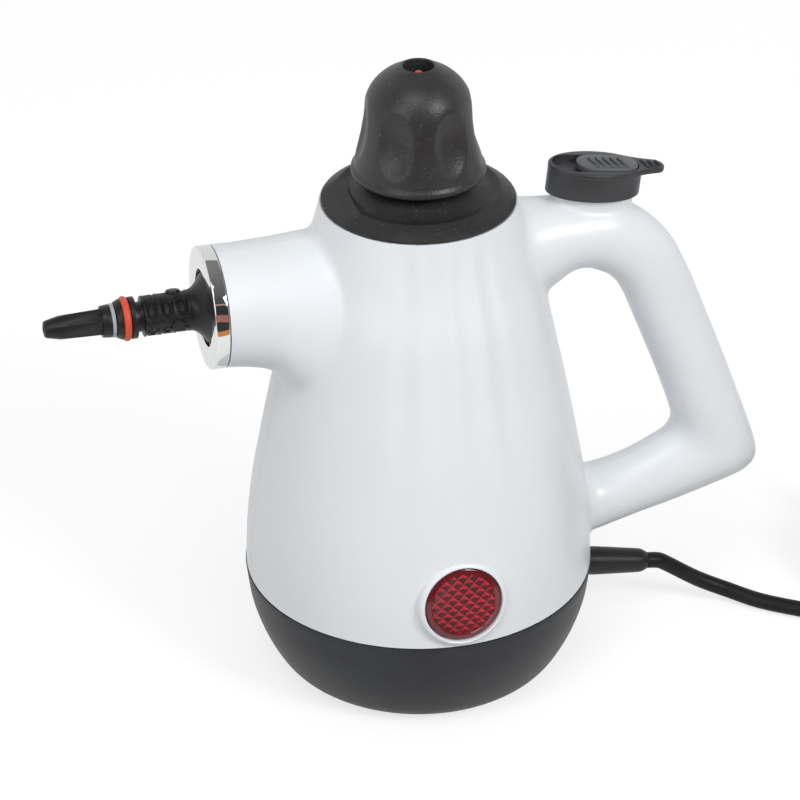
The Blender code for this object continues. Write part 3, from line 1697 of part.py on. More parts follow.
def make_core():
    flange_top = core_flange_bottom + core_flange
    outline = (
        (0, plug_bottom), (plug_thread_radius, plug_bottom),
        (plug_thread_radius, core_flange_bottom), (core_flange_radius, core_flange_bottom),
        (core_flange_radius, flange_top), (0, flange_top))
    core = lathe("cap_core", outline, lathe_steps, (0, 0, rim_height))
    join(core, hex_bar("post", flange_top - core_flange / 2, post_top, hex_radius))
    for radius, low, high in (
            (plug_cup_radius, plug_bottom - overrun, core_flange_bottom),
            (pin_chamber_radius, relief_collar_bottom - gap, pin_chamber_top),
            (pin_bore, 0, post_top + overrun)):
        cut(core, cylinder(
            "bore", (0, 0, rim_height + low), (0, 0, rim_height + high), radius, small_steps))
    return core


def make_cap_gasket():
    low = neck_top - rim_height + gap
    high = core_flange_bottom - gap
    outline = (
        (cap_gasket_bore, low), (cap_gasket_radius, low), (cap_gasket_radius, high),
        (cap_gasket_bore, high))
    return lathe("cap_gasket", outline, lathe_steps, (0, 0, rim_height))


def make_relief_pin():
    collar_top = relief_collar_bottom + relief_collar
    outline = (
        (0, relief_bottom), (relief_pin_radius, relief_bottom),
        (relief_pin_radius, relief_collar_bottom), (relief_collar_radius, relief_collar_bottom),
        (relief_collar_radius, collar_top), (relief_pin_radius, collar_top),
        (relief_pin_radius, relief_top - relief_pin_radius * 0.5),
        (relief_pin_radius * 0.6, relief_top), (0, relief_top))
    return lathe("relief_pin", outline, tiny_steps, (0, 0, rim_height))


def build():
    clear_scene()
    white = finish("white_plastic", (0.80, 0.82, 0.83), 0.35)
    grey = finish("dark_grey_plastic", (0.075, 0.078, 0.082), 0.55)
    black = finish("black_plastic", (0.022, 0.022, 0.024), 0.5)
    speckled = finish("speckled_black", (0.03, 0.03, 0.032), 0.6)
    chrome = finish("chrome", (0.75, 0.75, 0.76), 0.08, 1.0)
    aluminium = finish("cast_aluminium", (0.6, 0.61, 0.62), 0.4, 1.0)
    steel = finish("steel", (0.5, 0.5, 0.52), 0.3, 1.0)
    brass = finish("brass", (0.72, 0.52, 0.22), 0.3, 1.0)
    red_lens = finish("red_lens", (0.45, 0.02, 0.04), 0.1)
    red_rubber = finish("red_rubber", (0.75, 0.1, 0.06), 0.45)
    grey_rubber = finish("grey_rubber", (0.45, 0.47, 0.5), 0.5)
    black_rubber = finish("black_rubber", (0.02, 0.02, 0.021), 0.45)
    ceramic = finish("pale_ceramic", (0.75, 0.72, 0.66), 0.6)
    lamp_glass = finish("lamp_glass", (0.9, 0.7, 0.5), 0.1)

    dress(make_base_cup(), grey)
    form = make_housing()
    dress(make_shell(form, "housing_left", -1), white)
    dress(make_shell(form, "housing_right", 1), white)
    bpy.data.objects.remove(form)
    dress(make_collar(), speckled)
    dress(make_bezel(), chrome)
    dress(make_nozzle(), black)
    dress(make_o_ring(), red_rubber)
    dress(make_seal_ring(), grey_rubber)
    dress(make_socket(), brass)
    dress(make_steam_tube(), grey_rubber)

    dress(make_boiler_pot(), aluminium)
    dress(make_boiler_lid(), aluminium)
    dress(make_boiler_gasket(), red_rubber)
    dress(make_element(), steel)
    dress(make_thermostat(), ceramic)
    dress(make_fuse(), ceramic)
    dress(make_valve_body(), brass)
    dress(make_lever_pin(), steel)
    for piece in make_lid_screws() + make_base_screws() + make_shell_screws() + make_clamp_screws():
        dress(piece, steel)

    dress(make_lens(), red_lens)
    dress(make_lamp_holder(), ceramic)
    dress(make_lamp(), lamp_glass)
    dress(make_gland(), black_rubber)
    dress(make_inner_lead(), black_rubber)
    dress(make_clamp(), black)
    dress(make_terminal_block(), ceramic)

    cord, first_route = make_mains_cord()
    coil, coil_points = make_coil()
    tail, last_route = make_tail(coil_points[-1])
    for piece in (cord, coil, tail):
        dress(piece, black_rubber)
    made = route_length(first_route) + route_length(coil_points) + route_length(last_route)
    print("cord length", round(made, 4), "of", cord_length)
    dress(make_tie(), black)
    start = plug_start(coil_points[-1])
    dress(make_plug(start), black_rubber)
    for piece in make_plug_pins(start):
        dress(piece, chrome)

    cap_axis = (0, 0, rim_height)
    seat = joint_empty("cap_lift_axis", cap_axis)
    turn = joint_empty("cap_turn_axis", cap_axis)
    press = joint_empty("cap_press_axis", cap_axis)
    relief = joint_empty("relief_axis", cap_axis)
    hang(dress(make_cap_gasket(), red_rubber), seat)
    hang(dress(make_core(), black), turn)
    hang(dress(make_bell(), speckled), press)
    hang(dress(make_relief_pin(), red_rubber), relief)
    flange_top = rim_height + core_flange_bottom + core_flange
    hang(dress(spring(
        "cap_spring", (0, 0), flange_top + gap, rim_height + guide_bottom - gap,
        cap_spring_radius, cap_spring_wire, cap_spring_turns), steel), turn)

    trigger = joint_empty("trigger_axis", (trigger_reach, 0, button_skirt_height))
    lock = joint_empty("lock_axis", (trigger_reach, 0, button_top_height))
    lever = joint_empty("lever_axis", (lever_pivot_reach, 0, lever_pivot_height))
    stem = joint_empty("valve_stem_axis", (valve_reach, 0, valve_top))
    hang(dress(make_button(), grey), trigger)
    hang(dress(make_slider(), grey), lock)
    hang(dress(make_valve_lever(), steel), lever)
    hang(dress(make_valve_stem(), steel), stem)
    dress(spring(
        "trigger_spring", (trigger_reach, 0), spring_seat_height + gap, spring_pad_height - gap,
        trigger_spring_radius, trigger_spring_wire, trigger_spring_turns), steel)


build()
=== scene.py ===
import json
import math

import bmesh
import bpy
from mathutils import Matrix, Vector
from mathutils.bvhtree import BVHTree


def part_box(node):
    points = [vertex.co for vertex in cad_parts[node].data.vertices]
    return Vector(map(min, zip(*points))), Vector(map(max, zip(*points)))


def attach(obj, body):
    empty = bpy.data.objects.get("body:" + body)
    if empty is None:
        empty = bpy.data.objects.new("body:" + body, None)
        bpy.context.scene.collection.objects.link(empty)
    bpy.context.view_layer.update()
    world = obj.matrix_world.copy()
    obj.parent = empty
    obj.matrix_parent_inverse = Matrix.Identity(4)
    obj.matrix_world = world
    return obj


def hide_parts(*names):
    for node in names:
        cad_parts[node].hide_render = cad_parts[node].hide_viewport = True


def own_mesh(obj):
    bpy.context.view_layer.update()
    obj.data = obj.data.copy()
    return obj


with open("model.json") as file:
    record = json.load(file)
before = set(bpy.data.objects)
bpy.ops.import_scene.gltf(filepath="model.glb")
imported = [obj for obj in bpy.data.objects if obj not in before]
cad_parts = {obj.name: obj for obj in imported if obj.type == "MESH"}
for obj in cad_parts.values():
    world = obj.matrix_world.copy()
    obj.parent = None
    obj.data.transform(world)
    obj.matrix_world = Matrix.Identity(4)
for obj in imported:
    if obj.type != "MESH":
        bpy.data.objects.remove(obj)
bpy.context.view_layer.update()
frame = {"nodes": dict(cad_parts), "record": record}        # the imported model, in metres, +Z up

print("frame loaded:", len(frame["nodes"]), "nodes")

# the camera stands where the photograph was taken from
cameraSetup = {
    "azimuth": -15.6, "elevation": 30.64, "roll": -0.166, "distance": 1.3644,
    "target": (-0.00651, 0.00182, 0.10886), "lens": 166.545, "sensor": 36.0}


def addCamera():
    a = math.radians(cameraSetup["azimuth"])
    e = math.radians(cameraSetup["elevation"])
    back = Vector((math.sin(a) * math.cos(e), -math.cos(a) * math.cos(e), math.sin(e)))
    eye = Vector(cameraSetup["target"]) + back * cameraSetup["distance"]
    bpy.ops.object.camera_add()
    camera = bpy.context.object
    camera.name = "camera"
    camera.data.sensor_width = cameraSetup["sensor"]
    camera.data.lens = cameraSetup["lens"]
    turn = back.to_track_quat("Z", "Y").to_matrix().to_4x4()
    roll = Matrix.Rotation(math.radians(cameraSetup["roll"]), 4, "Z")
    camera.matrix_world = Matrix.Translation(eye) @ turn @ roll
    bpy.context.scene.camera = camera


addCamera()
bpy.context.scene.view_settings.view_transform = "Standard"

slots = {part["node"]: part["material_slot"] for part in frame["record"]["subparts"]}
shading = {
    "merge": 1e-6, "slit": 2e-6, "slitSides": 16, "degrees": 35.0, "shellDegrees": 38.0,
    "buttonDegrees": 32.0, "ribDegrees": 60.0, "wallDegrees": 40.0}


def clearSelection():
    if bpy.context.object and bpy.context.object.mode == "EDIT":
        bpy.ops.object.mode_set(mode="OBJECT")
    bpy.ops.object.select_all(action="DESELECT")


def pick(*things):
    clearSelection()
    for thing in things:
        thing.select_set(True)
    bpy.context.view_layer.objects.active = things[0]


def newPiece(addPrimitive, name, **settings):
    clearSelection()
    addPrimitive(**settings)
    piece = bpy.context.object
    piece.name = name
    return piece


def editAll(piece):
    pick(piece)
    bpy.ops.object.mode_set(mode="EDIT")
    bpy.ops.mesh.select_all(action="SELECT")


def bake(piece):
    # puts the piece's place, turn and size in its mesh
    pick(piece)
    bpy.ops.object.transform_apply(location=True, rotation=True, scale=True)


def joined(*pieces):
    pick(*pieces)
    bpy.ops.object.join()
    return pieces[0]


def selectPoints(piece, indices):
    bpy.ops.mesh.select_all(action="DESELECT")
    mesh = bmesh.from_edit_mesh(piece.data)
    mesh.verts.ensure_lookup_table()
    for index in indices:
        mesh.verts[index].select_set(True)
    mesh.select_flush(True)
    bmesh.update_edit_mesh(piece.data)


def drawnOutline(name, points, closed):
    # a small plane merged to a single point, then drawn out from point to point
    piece = newPiece(bpy.ops.mesh.primitive_plane_add, name, size=0.002, location=(0, 0, 0))
    editAll(piece)
    bpy.ops.mesh.merge(type="CENTER")
    bpy.ops.transform.translate(value=points[0])
    for here, after in zip(points, points[1:]):
        bpy.ops.mesh.extrude_region_move(TRANSFORM_OT_translate={"value": after - here})
    if closed:
        selectPoints(piece, (0, len(points) - 1))
        bpy.ops.mesh.edge_face_add()
    bpy.ops.mesh.select_all(action="SELECT")
    return piece


def tidyShell():
    bpy.ops.mesh.select_all(action="SELECT")
    bpy.ops.mesh.remove_doubles(threshold=shading["merge"])
    bpy.ops.mesh.normals_make_consistent(inside=False)
    bpy.ops.object.mode_set(mode="OBJECT")


def applyModifier(piece, kind, **settings):
    change = piece.modifiers.new(kind.lower(), kind)
    for key, value in settings.items():
        setattr(change, key, value)
    pick(piece)
    bpy.ops.object.modifier_apply(modifier=change.name)


def roundEdges(piece, width, segments=2, degrees=30.0):
    applyModifier(
        piece, "BEVEL", width=width, segments=segments, limit_method="ANGLE",
        angle_limit=math.radians(degrees), use_clamp_overlap=True)


def combine(piece, tool, operation, solver="EXACT"):
    applyModifier(piece, "BOOLEAN", operation=operation, solver=solver, object=tool)
    bpy.data.objects.remove(tool)


def settle(piece, origin, direction=(0, 0, 1)):
    # local Z to the direction, local origin to the place
    piece.rotation_mode = "QUATERNION"
    piece.rotation_quaternion = Vector((0, 0, 1)).rotation_difference(Vector(direction))
    piece.location = origin
    bake(piece)


def spun(piece, steps):
    bpy.ops.mesh.spin(steps=steps, angle=math.tau, center=(0, 0, 0), axis=(0, 0, 1))
    tidyShell()
    return piece


def turned(name, outline, steps=96, origin=(0, 0, 0), direction=(0, 0, 1), edge=0.0, segments=2):
    # an outline of (radius, height) drawn point by point and spun round
    points = [Vector((radius, 0, height)) for radius, height in outline]
    piece = spun(drawnOutline(name, points, outline[0][0] > 0 or outline[-1][0] > 0), steps)
    if edge:
        roundEdges(piece, edge, segments)
    settle(piece, origin, direction)
    return piece


def profile(setup, key="outline"):
    # each point names the ring it stands on, then how far out from it and how high it is
    return [(setup[ring] + out, height) for ring, out, height in setup[key]]


def pushIn(piece, depthAt):
    # moves the points of a turned piece towards its axis
    for vert in piece.data.vertices:
        radius = vert.co.xy.length
        if radius > 0:
            depth = depthAt(math.atan2(vert.co.y, vert.co.x), vert.co.z, radius)
            vert.co.xy *= (radius - depth) / radius


def smoothLine(points, parts):
    # a finer line through the same points
    points = [Vector(point) for point in points]
    ends = [2 * points[0] - points[1]] + points + [2 * points[-1] - points[-2]]
    line = []
    for a, b, c, d in zip(ends, ends[1:], ends[2:], ends[3:]):
        for part in range(parts):
            t = part / parts
            line.append(0.5 * (
                2 * b + (c - a) * t + (2 * a - 5 * b + 4 * c - d) * t ** 2
                + (3 * b - a - 3 * c + d) * t ** 3))
    return line + [points[-1]]


def smoothOutline(points, parts):
    return [tuple(point) for point in smoothLine(points, parts)]


def prism(name, outline, low, high, edge=0.0, segments=2):
    # an upright wall round an outline of (x, y); its ends follow functions of x
    piece = drawnOutline(name, [Vector((x, y, 0)) for x, y in outline], True)
    bpy.ops.mesh.edge_face_add()
    bpy.ops.mesh.extrude_region_move(TRANSFORM_OT_translate={"value": (0, 0, 1)})
    bpy.ops.object.mode_set(mode="OBJECT")
    for vert in piece.data.vertices:
        vert.co.z = high(vert.co.x) if vert.co.z > 0.5 else low(vert.co.x)
    editAll(piece)
    tidyShell()
    if edge:
        roundEdges(piece, edge, segments, shading["wallDegrees"])
    return piece


def arc(middle, radius, start, end, steps):
    turns = [start + (end - start) * step / steps for step in range(steps + 1)]
    return [(middle + radius * math.cos(turn), radius * math.sin(turn)) for turn in turns]


def oval(halfLength, halfWidth, steps, middle):
    turns = [math.tau * step / steps for step in range(steps)]
    return [(middle + halfLength * math.cos(t), halfWidth * math.sin(t)) for t in turns]


def stadium(halfLength, halfWidth, steps, middle):
    straight, quarter = halfLength - halfWidth, math.pi / 2
    return (arc(middle + straight, halfWidth, -quarter, quarter, steps)
            + arc(middle - straight, halfWidth, quarter, 3 * quarter, steps))


def rod(name, start, end, radius, steps=32, edge=0.0):
    start = Vector(start)
    reach = Vector(end) - start
    outline = ((0, 0), (radius, 0), (radius, reach.length), (0, reach.length))
    return turned(name, outline, steps, start, reach, edge)


def compass(turn):
    return Vector((math.cos(turn), math.sin(turn), 0))


def smoothShade(piece, degrees=shading["degrees"]):
    pick(piece)
    bpy.ops.object.shade_smooth_by_angle(angle=math.radians(degrees))


def wear(piece, body, *nodes, finish=None, degrees=shading["degrees"]):
    # the piece rides on its body, stands for its nodes and takes their slot's finish or its own
    if degrees:
        smoothShade(piece, degrees)
    slot = slots[nodes[0]]
    piece.data.materials.clear()
    piece.data.materials.append(finishes[finish or slot])
    declare(piece, body, slot, *nodes)


def declare(piece, body, slot, *nodes):
    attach(piece, body)
    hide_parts(*nodes)


# finishes: every one is a procedural pattern in object coordinates
def newFinish(name, **sockets):
    finish = bpy.data.materials.new(name)
    finish.use_nodes = True
    shader = finish.node_tree.nodes["Principled BSDF"]
    for socket, value in sockets.items():
        shader.inputs[socket.replace("_", " ")].default_value = value
    return finish, finish.node_tree, shader


def addNode(tree, kind, inputs, **settings):
    # each input takes a value or another node's output
    node = tree.nodes.new("ShaderNode" + kind)
    for key, value in settings.items():
        setattr(node, key, value)
    for key, value in inputs.items():
        if isinstance(value, bpy.types.NodeSocket):
            tree.links.new(value, node.inputs[key])
        else:
            node.inputs[key].default_value = value
    return node


def objectPattern(tree, kind, stretch=None, output="Fac", **sockets):
    place = addNode(tree, "TexCoord", {}).outputs["Object"]
    if stretch:
        place = addNode(tree, "Mapping", {"Vector": place, "Scale": stretch}).outputs["Vector"]
    return addNode(tree, kind, {"Vector": place, **sockets}).outputs[output]


def rampFrom(tree, source, *stops):
    ramp = addNode(tree, "ValToRGB", {"Fac": source})
    while len(ramp.color_ramp.elements) < len(stops):
        ramp.color_ramp.elements.new(0.5)
    for element, (place, colour) in zip(ramp.color_ramp.elements, stops):
        element.position = place
        element.color = (*colour, 1)
    return ramp.outputs["Color"]


def roughFrom(tree, shader, source, low, high):
    spread = addNode(tree, "MapRange", {"Value": source, "To Min": low, "To Max": high})
    tree.links.new(spread.outputs["Result"], shader.inputs["Roughness"])


def bumpFrom(tree, shader, source, strength, distance):
    bump = addNode(tree, "Bump", {"Height": source, "Strength": strength, "Distance": distance})
    tree.links.new(bump.outputs["Normal"], shader.inputs["Normal"])


def mixed(tree, share, first, second):
    return addNode(tree, "Mix", {0: share, 6: first, 7: second}, data_type="RGBA").outputs[2]


def mouldedFinish(name, dark, light, rough, grain=900.0, depth=0.00002, strength=0.3, **sockets):
    # moulded plastic or rubber: slow colour drift, fine grain in the gloss and the surface
    finish, tree, shader = newFinish(name, **sockets)
    drift = objectPattern(tree, "TexNoise", Scale=28.0, Detail=4.0, Roughness=0.55)
    tree.links.new(rampFrom(tree, drift, (0.35, dark), (0.65, light)), shader.inputs["Base Color"])
    fine = objectPattern(tree, "TexNoise", Scale=grain, Detail=3.0, Roughness=0.6)
    roughFrom(tree, shader, fine, *rough)
    bumpFrom(tree, shader, fine, strength, depth)
    return finish


def speckledFinish(name, dark, light, fleck, rough, **sockets):
    # textured moulding: dark ground with fine pale flecks and a pebbled surface
    finish, tree, shader = newFinish(name, **sockets)
    drift = objectPattern(tree, "TexNoise", Scale=60.0, Detail=5.0, Roughness=0.6)
    dots = objectPattern(tree, "TexNoise", Scale=1700.0, Detail=2.0, Roughness=0.7)
    share = rampFrom(tree, dots, (0.66, (0, 0, 0)), (0.78, (1, 1, 1)))
    ground = rampFrom(tree, drift, (0.3, dark), (0.7, light))
    tree.links.new(mixed(tree, share, ground, (*fleck, 1)), shader.inputs["Base Color"])
    roughFrom(tree, shader, dots, *rough)
    pebble = objectPattern(tree, "TexVoronoi", output="Distance", Scale=1100.0)
    bumpFrom(tree, shader, pebble, 0.55, 0.00009)
    return finish


def metalFinish(name, dark, light, rough, stretch=(1, 1, 1), depth=0.00001):
    # plated, cast or drawn metal: faint cloud in the colour, fine lines or pits in the gloss
    finish, tree, shader = newFinish(name, Metallic=1.0)
    cloud = objectPattern(tree, "TexNoise", Scale=90.0, Detail=4.0)
    tree.links.new(rampFrom(tree, cloud, (0.35, dark), (0.65, light)), shader.inputs["Base Color"])
    fine = objectPattern(tree, "TexNoise", stretch, Scale=700.0)
    roughFrom(tree, shader, fine, *rough)
    bumpFrom(tree, shader, fine, 0.2, depth)
    return finish


finishes = {
    "white_plastic": mouldedFinish(
        "whiteShell", (0.765, 0.797, 0.825), (0.790, 0.819, 0.845), (0.28, 0.38), 600.0, 0.000006,
        0.15, IOR=1.5, Coat_Weight=0.1, Coat_Roughness=0.15),
    "dark_grey_plastic": mouldedFinish(
        "satinGrey", (0.022, 0.023, 0.026), (0.030, 0.032, 0.035), (0.38, 0.48), 1400.0,
        Specular_IOR_Level=0.3),
    "black_plastic": mouldedFinish(
        "satinBlack", (0.012, 0.012, 0.013), (0.020, 0.020, 0.021), (0.30, 0.42),
        Specular_IOR_Level=0.3),
    "speckled_black": speckledFinish(
        "speckledBlack", (0.022, 0.022, 0.024), (0.034, 0.035, 0.037), (0.25, 0.25, 0.26),
        (0.32, 0.48), Specular_IOR_Level=0.5),
    "chrome": metalFinish("chromePlate", (0.78, 0.79, 0.79), (0.83, 0.84, 0.84), (0.03, 0.07)),
    "cast_aluminium": metalFinish(
        "castAluminium", (0.50, 0.51, 0.52), (0.64, 0.65, 0.66), (0.35, 0.55), depth=0.00008),
    "steel": metalFinish(
        "plainSteel", (0.42, 0.42, 0.44), (0.55, 0.55, 0.57), (0.25, 0.4), (1, 1, 0.1)),
    "brass": metalFinish(
        "turnedBrass", (0.60, 0.42, 0.16), (0.74, 0.55, 0.24), (0.2, 0.35), depth=0.00003),
    "red_lens": mouldedFinish(
        "redLens", (0.42, 0.014, 0.030), (0.66, 0.024, 0.048), (0.16, 0.24), 500.0, 0.000004, 0.1,
        Specular_IOR_Level=0.2, Coat_Weight=0.15, Coat_Roughness=0.06),
    "red_rubber": mouldedFinish(
        "redRubber", (0.60, 0.06, 0.025), (0.72, 0.10, 0.045), (0.38, 0.5), 800.0, strength=0.25),
    "grey_rubber": mouldedFinish(
        "greyRubber", (0.30, 0.32, 0.35), (0.42, 0.44, 0.47), (0.3, 0.45), 700.0, strength=0.25),
    "black_rubber": mouldedFinish(
        "blackRubber", (0.007, 0.007, 0.008), (0.013, 0.013, 0.014), (0.36, 0.52), depth=0.00003,
        Specular_IOR_Level=0.22),
    "pale_ceramic": mouldedFinish(
        "paleCeramic", (0.62, 0.59, 0.53), (0.76, 0.73, 0.67), (0.5, 0.7), 500.0, 0.00005, 0.4),
    "lamp_glass": mouldedFinish(
        "lampGlass", (0.80, 0.62, 0.42), (0.92, 0.76, 0.55), (0.05, 0.1), 300.0, 0.000004, 0.1,
        Transmission_Weight=0.8, IOR=1.45),
    # shades that single pieces wear in place of their slot's own
    "lensRim": mouldedFinish(
        "lensRim", (0.10, 0.006, 0.010), (0.17, 0.009, 0.016), (0.10, 0.16), 500.0, 0.000004, 0.1,
        Coat_Weight=0.3, Coat_Roughness=0.04),
    # painted shade: a darker red for the lower sides of the lens's facets
    "lensPaintedShade": mouldedFinish(
        "lensPaintedShade", (0.055, 0.018, 0.021), (0.105, 0.026, 0.032), (0.16, 0.24), 500.0, 0.000004,
        0.1, Specular_IOR_Level=0.3, Coat_Weight=0.15, Coat_Roughness=0.06),
    "collarBlack": speckledFinish(
        "collarBlack", (0.021, 0.021, 0.022), (0.032, 0.032, 0.033), (0.23, 0.23, 0.24),
        (0.34, 0.54), Specular_IOR_Level=0.2),
    "sliderGrey": mouldedFinish(
        "sliderGrey", (0.076, 0.080, 0.086), (0.092, 0.096, 0.103), (0.34, 0.44), 1400.0,
        Specular_IOR_Level=0.5),
    "glandRubber": mouldedFinish(
        "glandRubber", (0.016, 0.016, 0.018), (0.024, 0.024, 0.026), (0.32, 0.46), depth=0.00003,
        Specular_IOR_Level=0.3),
    "buttonGrey": mouldedFinish(
        "buttonGrey", (0.031, 0.033, 0.037), (0.040, 0.042, 0.047), (0.34, 0.44), 1400.0,
        Specular_IOR_Level=0.45)}
print("finishes made:", len(finishes))

for nodeName, slotName in slots.items():
    carriedOver = frame["nodes"][nodeName].data.materials
    carriedOver.clear()
    carriedOver.append(finishes[slotName])

# mains cord: from the strain relief along the floor, round the coil and out to the plug
cordSetup = {        # straight runs at the ends are counted in cord radii
    "radius": 0.0031, "length": 2.5, "wallReach": 0.062, "glandHeight": 0.0272,
    "glandLength": 0.0298, "dropDegrees": 9.8, "endGap": 0.0003, "endRun": 1.5, "coilRun": 4,
    "tailStart": 2, "lineParts": 4,
    "route": (
        (0.0380, 0.0002, 0.0190), (0.0505, -0.0010, 0.0105), (0.0624, -0.0045, 0.0052),
        (0.0725, -0.0123, 0.0034), (0.0855, -0.0221, 0.0034), (0.1020, -0.0333, 0.0036),
        (0.1190, -0.0440, 0.0041)),
    "coilEntry": (0.1388, -0.0540, 0.0047), "headingDegrees": -15.6, "turns": 10.25, "layers": 4,
    "pitch": 0.00675, "meanRadius": 0.03602, "pointsPerTurn": 36,
    "tail": ((0.24, 0.02, 0.90), (0.5, 0.03, 0.62), (0.76, 0.0, 0.28)), "tailRun": 0.05,
    "plugHeight": 0.0188}


def glandLine(distance):
    drop = math.radians(cordSetup["dropDegrees"])
    start = Vector((cordSetup["wallReach"], 0, cordSetup["glandHeight"]))
    return start + distance * Vector((math.cos(drop), 0, -math.sin(drop)))


def coilTurn(turns):
    return math.radians(cordSetup["headingDegrees"]) + math.tau * turns


def coilRadius(turns):
    perLayer = cordSetup["turns"] / cordSetup["layers"]
    layer = int(min(turns / perLayer, cordSetup["layers"] - 1))
    share = turns / perLayer - layer
    sign = 1 if layer % 2 == 0 else -1
    return cordSetup["meanRadius"] + sign * cordSetup["pitch"] * perLayer / 2 * (1 - 2 * share)


def coilHeight(turns):
    height = cordSetup["coilEntry"][2]
    perLayer = cordSetup["turns"] / cordSetup["layers"]
    for layer in range(1, cordSetup["layers"]):
        share = min(1.0, max(0.0, (turns - layer * perLayer) * 2 + 0.5))
        height += cordSetup["pitch"] * share * share * (3 - 2 * share)
    return height


coilStart = Vector((cordSetup["wallReach"], 0, 0)) + Vector(cordSetup["coilEntry"])
coilMiddle = coilStart + compass(coilTurn(0.25)) * coilRadius(0)
coilMiddle.z = 0


def coilPoint(turns):
    spoke = compass(coilTurn(turns - 0.25)) * coilRadius(turns)
    return coilMiddle + spoke + Vector((0, 0, coilHeight(turns)))


def cordRoute():
    s = cordSetup
    radius, gap, endRun = s["radius"], s["endGap"], s["endRun"] * s["radius"]
    wall = Vector((s["wallReach"], 0, 0))
    start = glandLine(s["glandLength"] + gap)
    knots = [start, glandLine(s["glandLength"] + gap + endRun)]
    knots += [wall + Vector(point) for point in s["route"]]
    knots.append(coilStart - compass(coilTurn(0)) * s["coilRun"] * radius)
    route = smoothLine(knots, s["lineParts"])
    count = round(s["turns"] * s["pointsPerTurn"])
    route += [coilPoint(s["turns"] * step / count) for step in range(count + 1)]
    end = route[-1]
    heading = compass(coilTurn(s["turns"]))
    side = Vector((heading.y, -heading.x, 0))
    finish = end + heading * s["tailRun"]
    finish.z = s["plugHeight"]
    knots = [end + heading * s["tailStart"] * radius]
    for along, aside, high in s["tail"]:
        place = end + (heading * along + side * aside) * s["tailRun"]
        knots.append(Vector((place.x, place.y, finish.z + (end.z - finish.z) * high)))
    knots += [finish - heading * endRun, finish - heading * gap]
    return start, route + smoothLine(knots, s["lineParts"]), finish, heading


def makeCord():
    start, route, finish, heading = cordRoute()
    curve = bpy.data.curves.new("mainsCord", "CURVE")
    curve.dimensions = "3D"
    curve.bevel_depth = cordSetup["radius"]
    curve.bevel_resolution = 4
    curve.use_fill_caps = True
    line = curve.splines.new("POLY")
    line.points.add(len(route) - 1)
    for knot, point in zip(line.points, route):
        knot.co = (*point, 1)
    line.use_smooth = True
    cord = bpy.data.objects.new("mainsCord", curve)
    bpy.context.scene.collection.objects.link(cord)
    wear(cord, "body", "mains_cord", "cord_coil", "mains_cord_end", degrees=None)
    return cord, start, finish, heading


mainsCord, cordExit, plugStart, plugHeading = makeCord()
print("cord laid")

# moulded plug at the cord's end, with ribbed relief, two notches and two pins
plugSetup = {
    "end": 0.057, "radius": 0.0185, "ribs": 4, "ribStart": 0.0012, "ribPitch": 0.0032,
    "ribRoot": 0.00414, "rib": (
        (0.00437, 0.0), (0.003588, 0.0004), (0.003588, 0.0013), (0.004462, 0.0017)),
    "body": (
        (0.0046, 0.01425), (0.00598, 0.015), (0.011625, 0.01875), (0.0155, 0.0276),
        (0.015035, 0.0381), (0.017945, 0.04272), (0.0185, 0.054)),
    "edge": 0.0006, "notch": (0.025, 0.006, 0.006), "notchEdge": 0.0008,
    "pinSpacing": 0.019, "seatRadius": 0.0027, "seatDepth": 0.006, "seatTop": 0.005,
    "pin": (
        (0, -0.0057), (0.0024, -0.0057), (0.0024, 0.0168), (0.002232, 0.0178), (0.00168, 0.0186),
        (0.00096, 0.019), (0, 0.019))}


def makePlug():
    s = plugSetup
    outline = [(0, 0), (s["ribRoot"], 0)]
    for ring in range(s["ribs"]):
        low = s["ribStart"] + ring * s["ribPitch"]
        outline += [(radius, low + rise) for radius, rise in s["rib"]]
    outline += smoothOutline(s["body"], 4) + [(s["radius"], s["end"]), (0, s["end"])]
    plug = turned("plugBody", outline, 64, plugStart, plugHeading, s["edge"], 3)
    face = plugStart + plugHeading * s["end"]
    side = Vector((plugHeading.y, -plugHeading.x, 0)) * s["pinSpacing"] / 2
    pins = []
    for number, sign in ((1, -1), (2, 1)):
        root = face + side * sign
        combine(plug, rod(
            "pinSeat", root - plugHeading * s["seatDepth"], root + plugHeading * s["seatTop"],
            s["seatRadius"]), "DIFFERENCE")
        notch = newPiece(
            bpy.ops.mesh.primitive_cube_add, "notch", size=1,
            location=face + Vector((0, 0, sign * s["radius"])))
        notch.rotation_euler.z = math.atan2(plugHeading.y, plugHeading.x)
        notch.scale = s["notch"]
        bake(notch)
        roundEdges(notch, s["notchEdge"])
        combine(plug, notch, "DIFFERENCE")
        pins.append(turned("plugPin%d" % number, s["pin"], 32, root, plugHeading))
        wear(pins[-1], "body", "plug_pin_%d" % number)
    wear(plug, "body", "plug_body")
    return plug, pins


plugBody, plugPins = makePlug()
print("plug made")

# strain relief: a flange inside the base, then a nose that tapers to the cord
glandSetup = {
    "flange": ((0, -0.0065), (0.0075, -0.0065), (0.0075, -0.0045), (0.0055, -0.0045)),
    "nose": (
        (0.0055, 0.00894), (0.004968, 0.019668), (0.0046, 0.0266), (0.004048, 0.0284),
        (0.0034, 0.0298)),
    "edge": 0.0004}


def makeGland():
    s = glandSetup
    outline = [*s["flange"], *smoothOutline(s["nose"], 5), (0, s["nose"][-1][1])]
    gland = turned("cordGland", outline, 48, glandLine(0), glandLine(1) - glandLine(0), s["edge"])
    wear(gland, "body", "cord_gland", finish="glandRubber")


makeGland()
print("strain relief made")

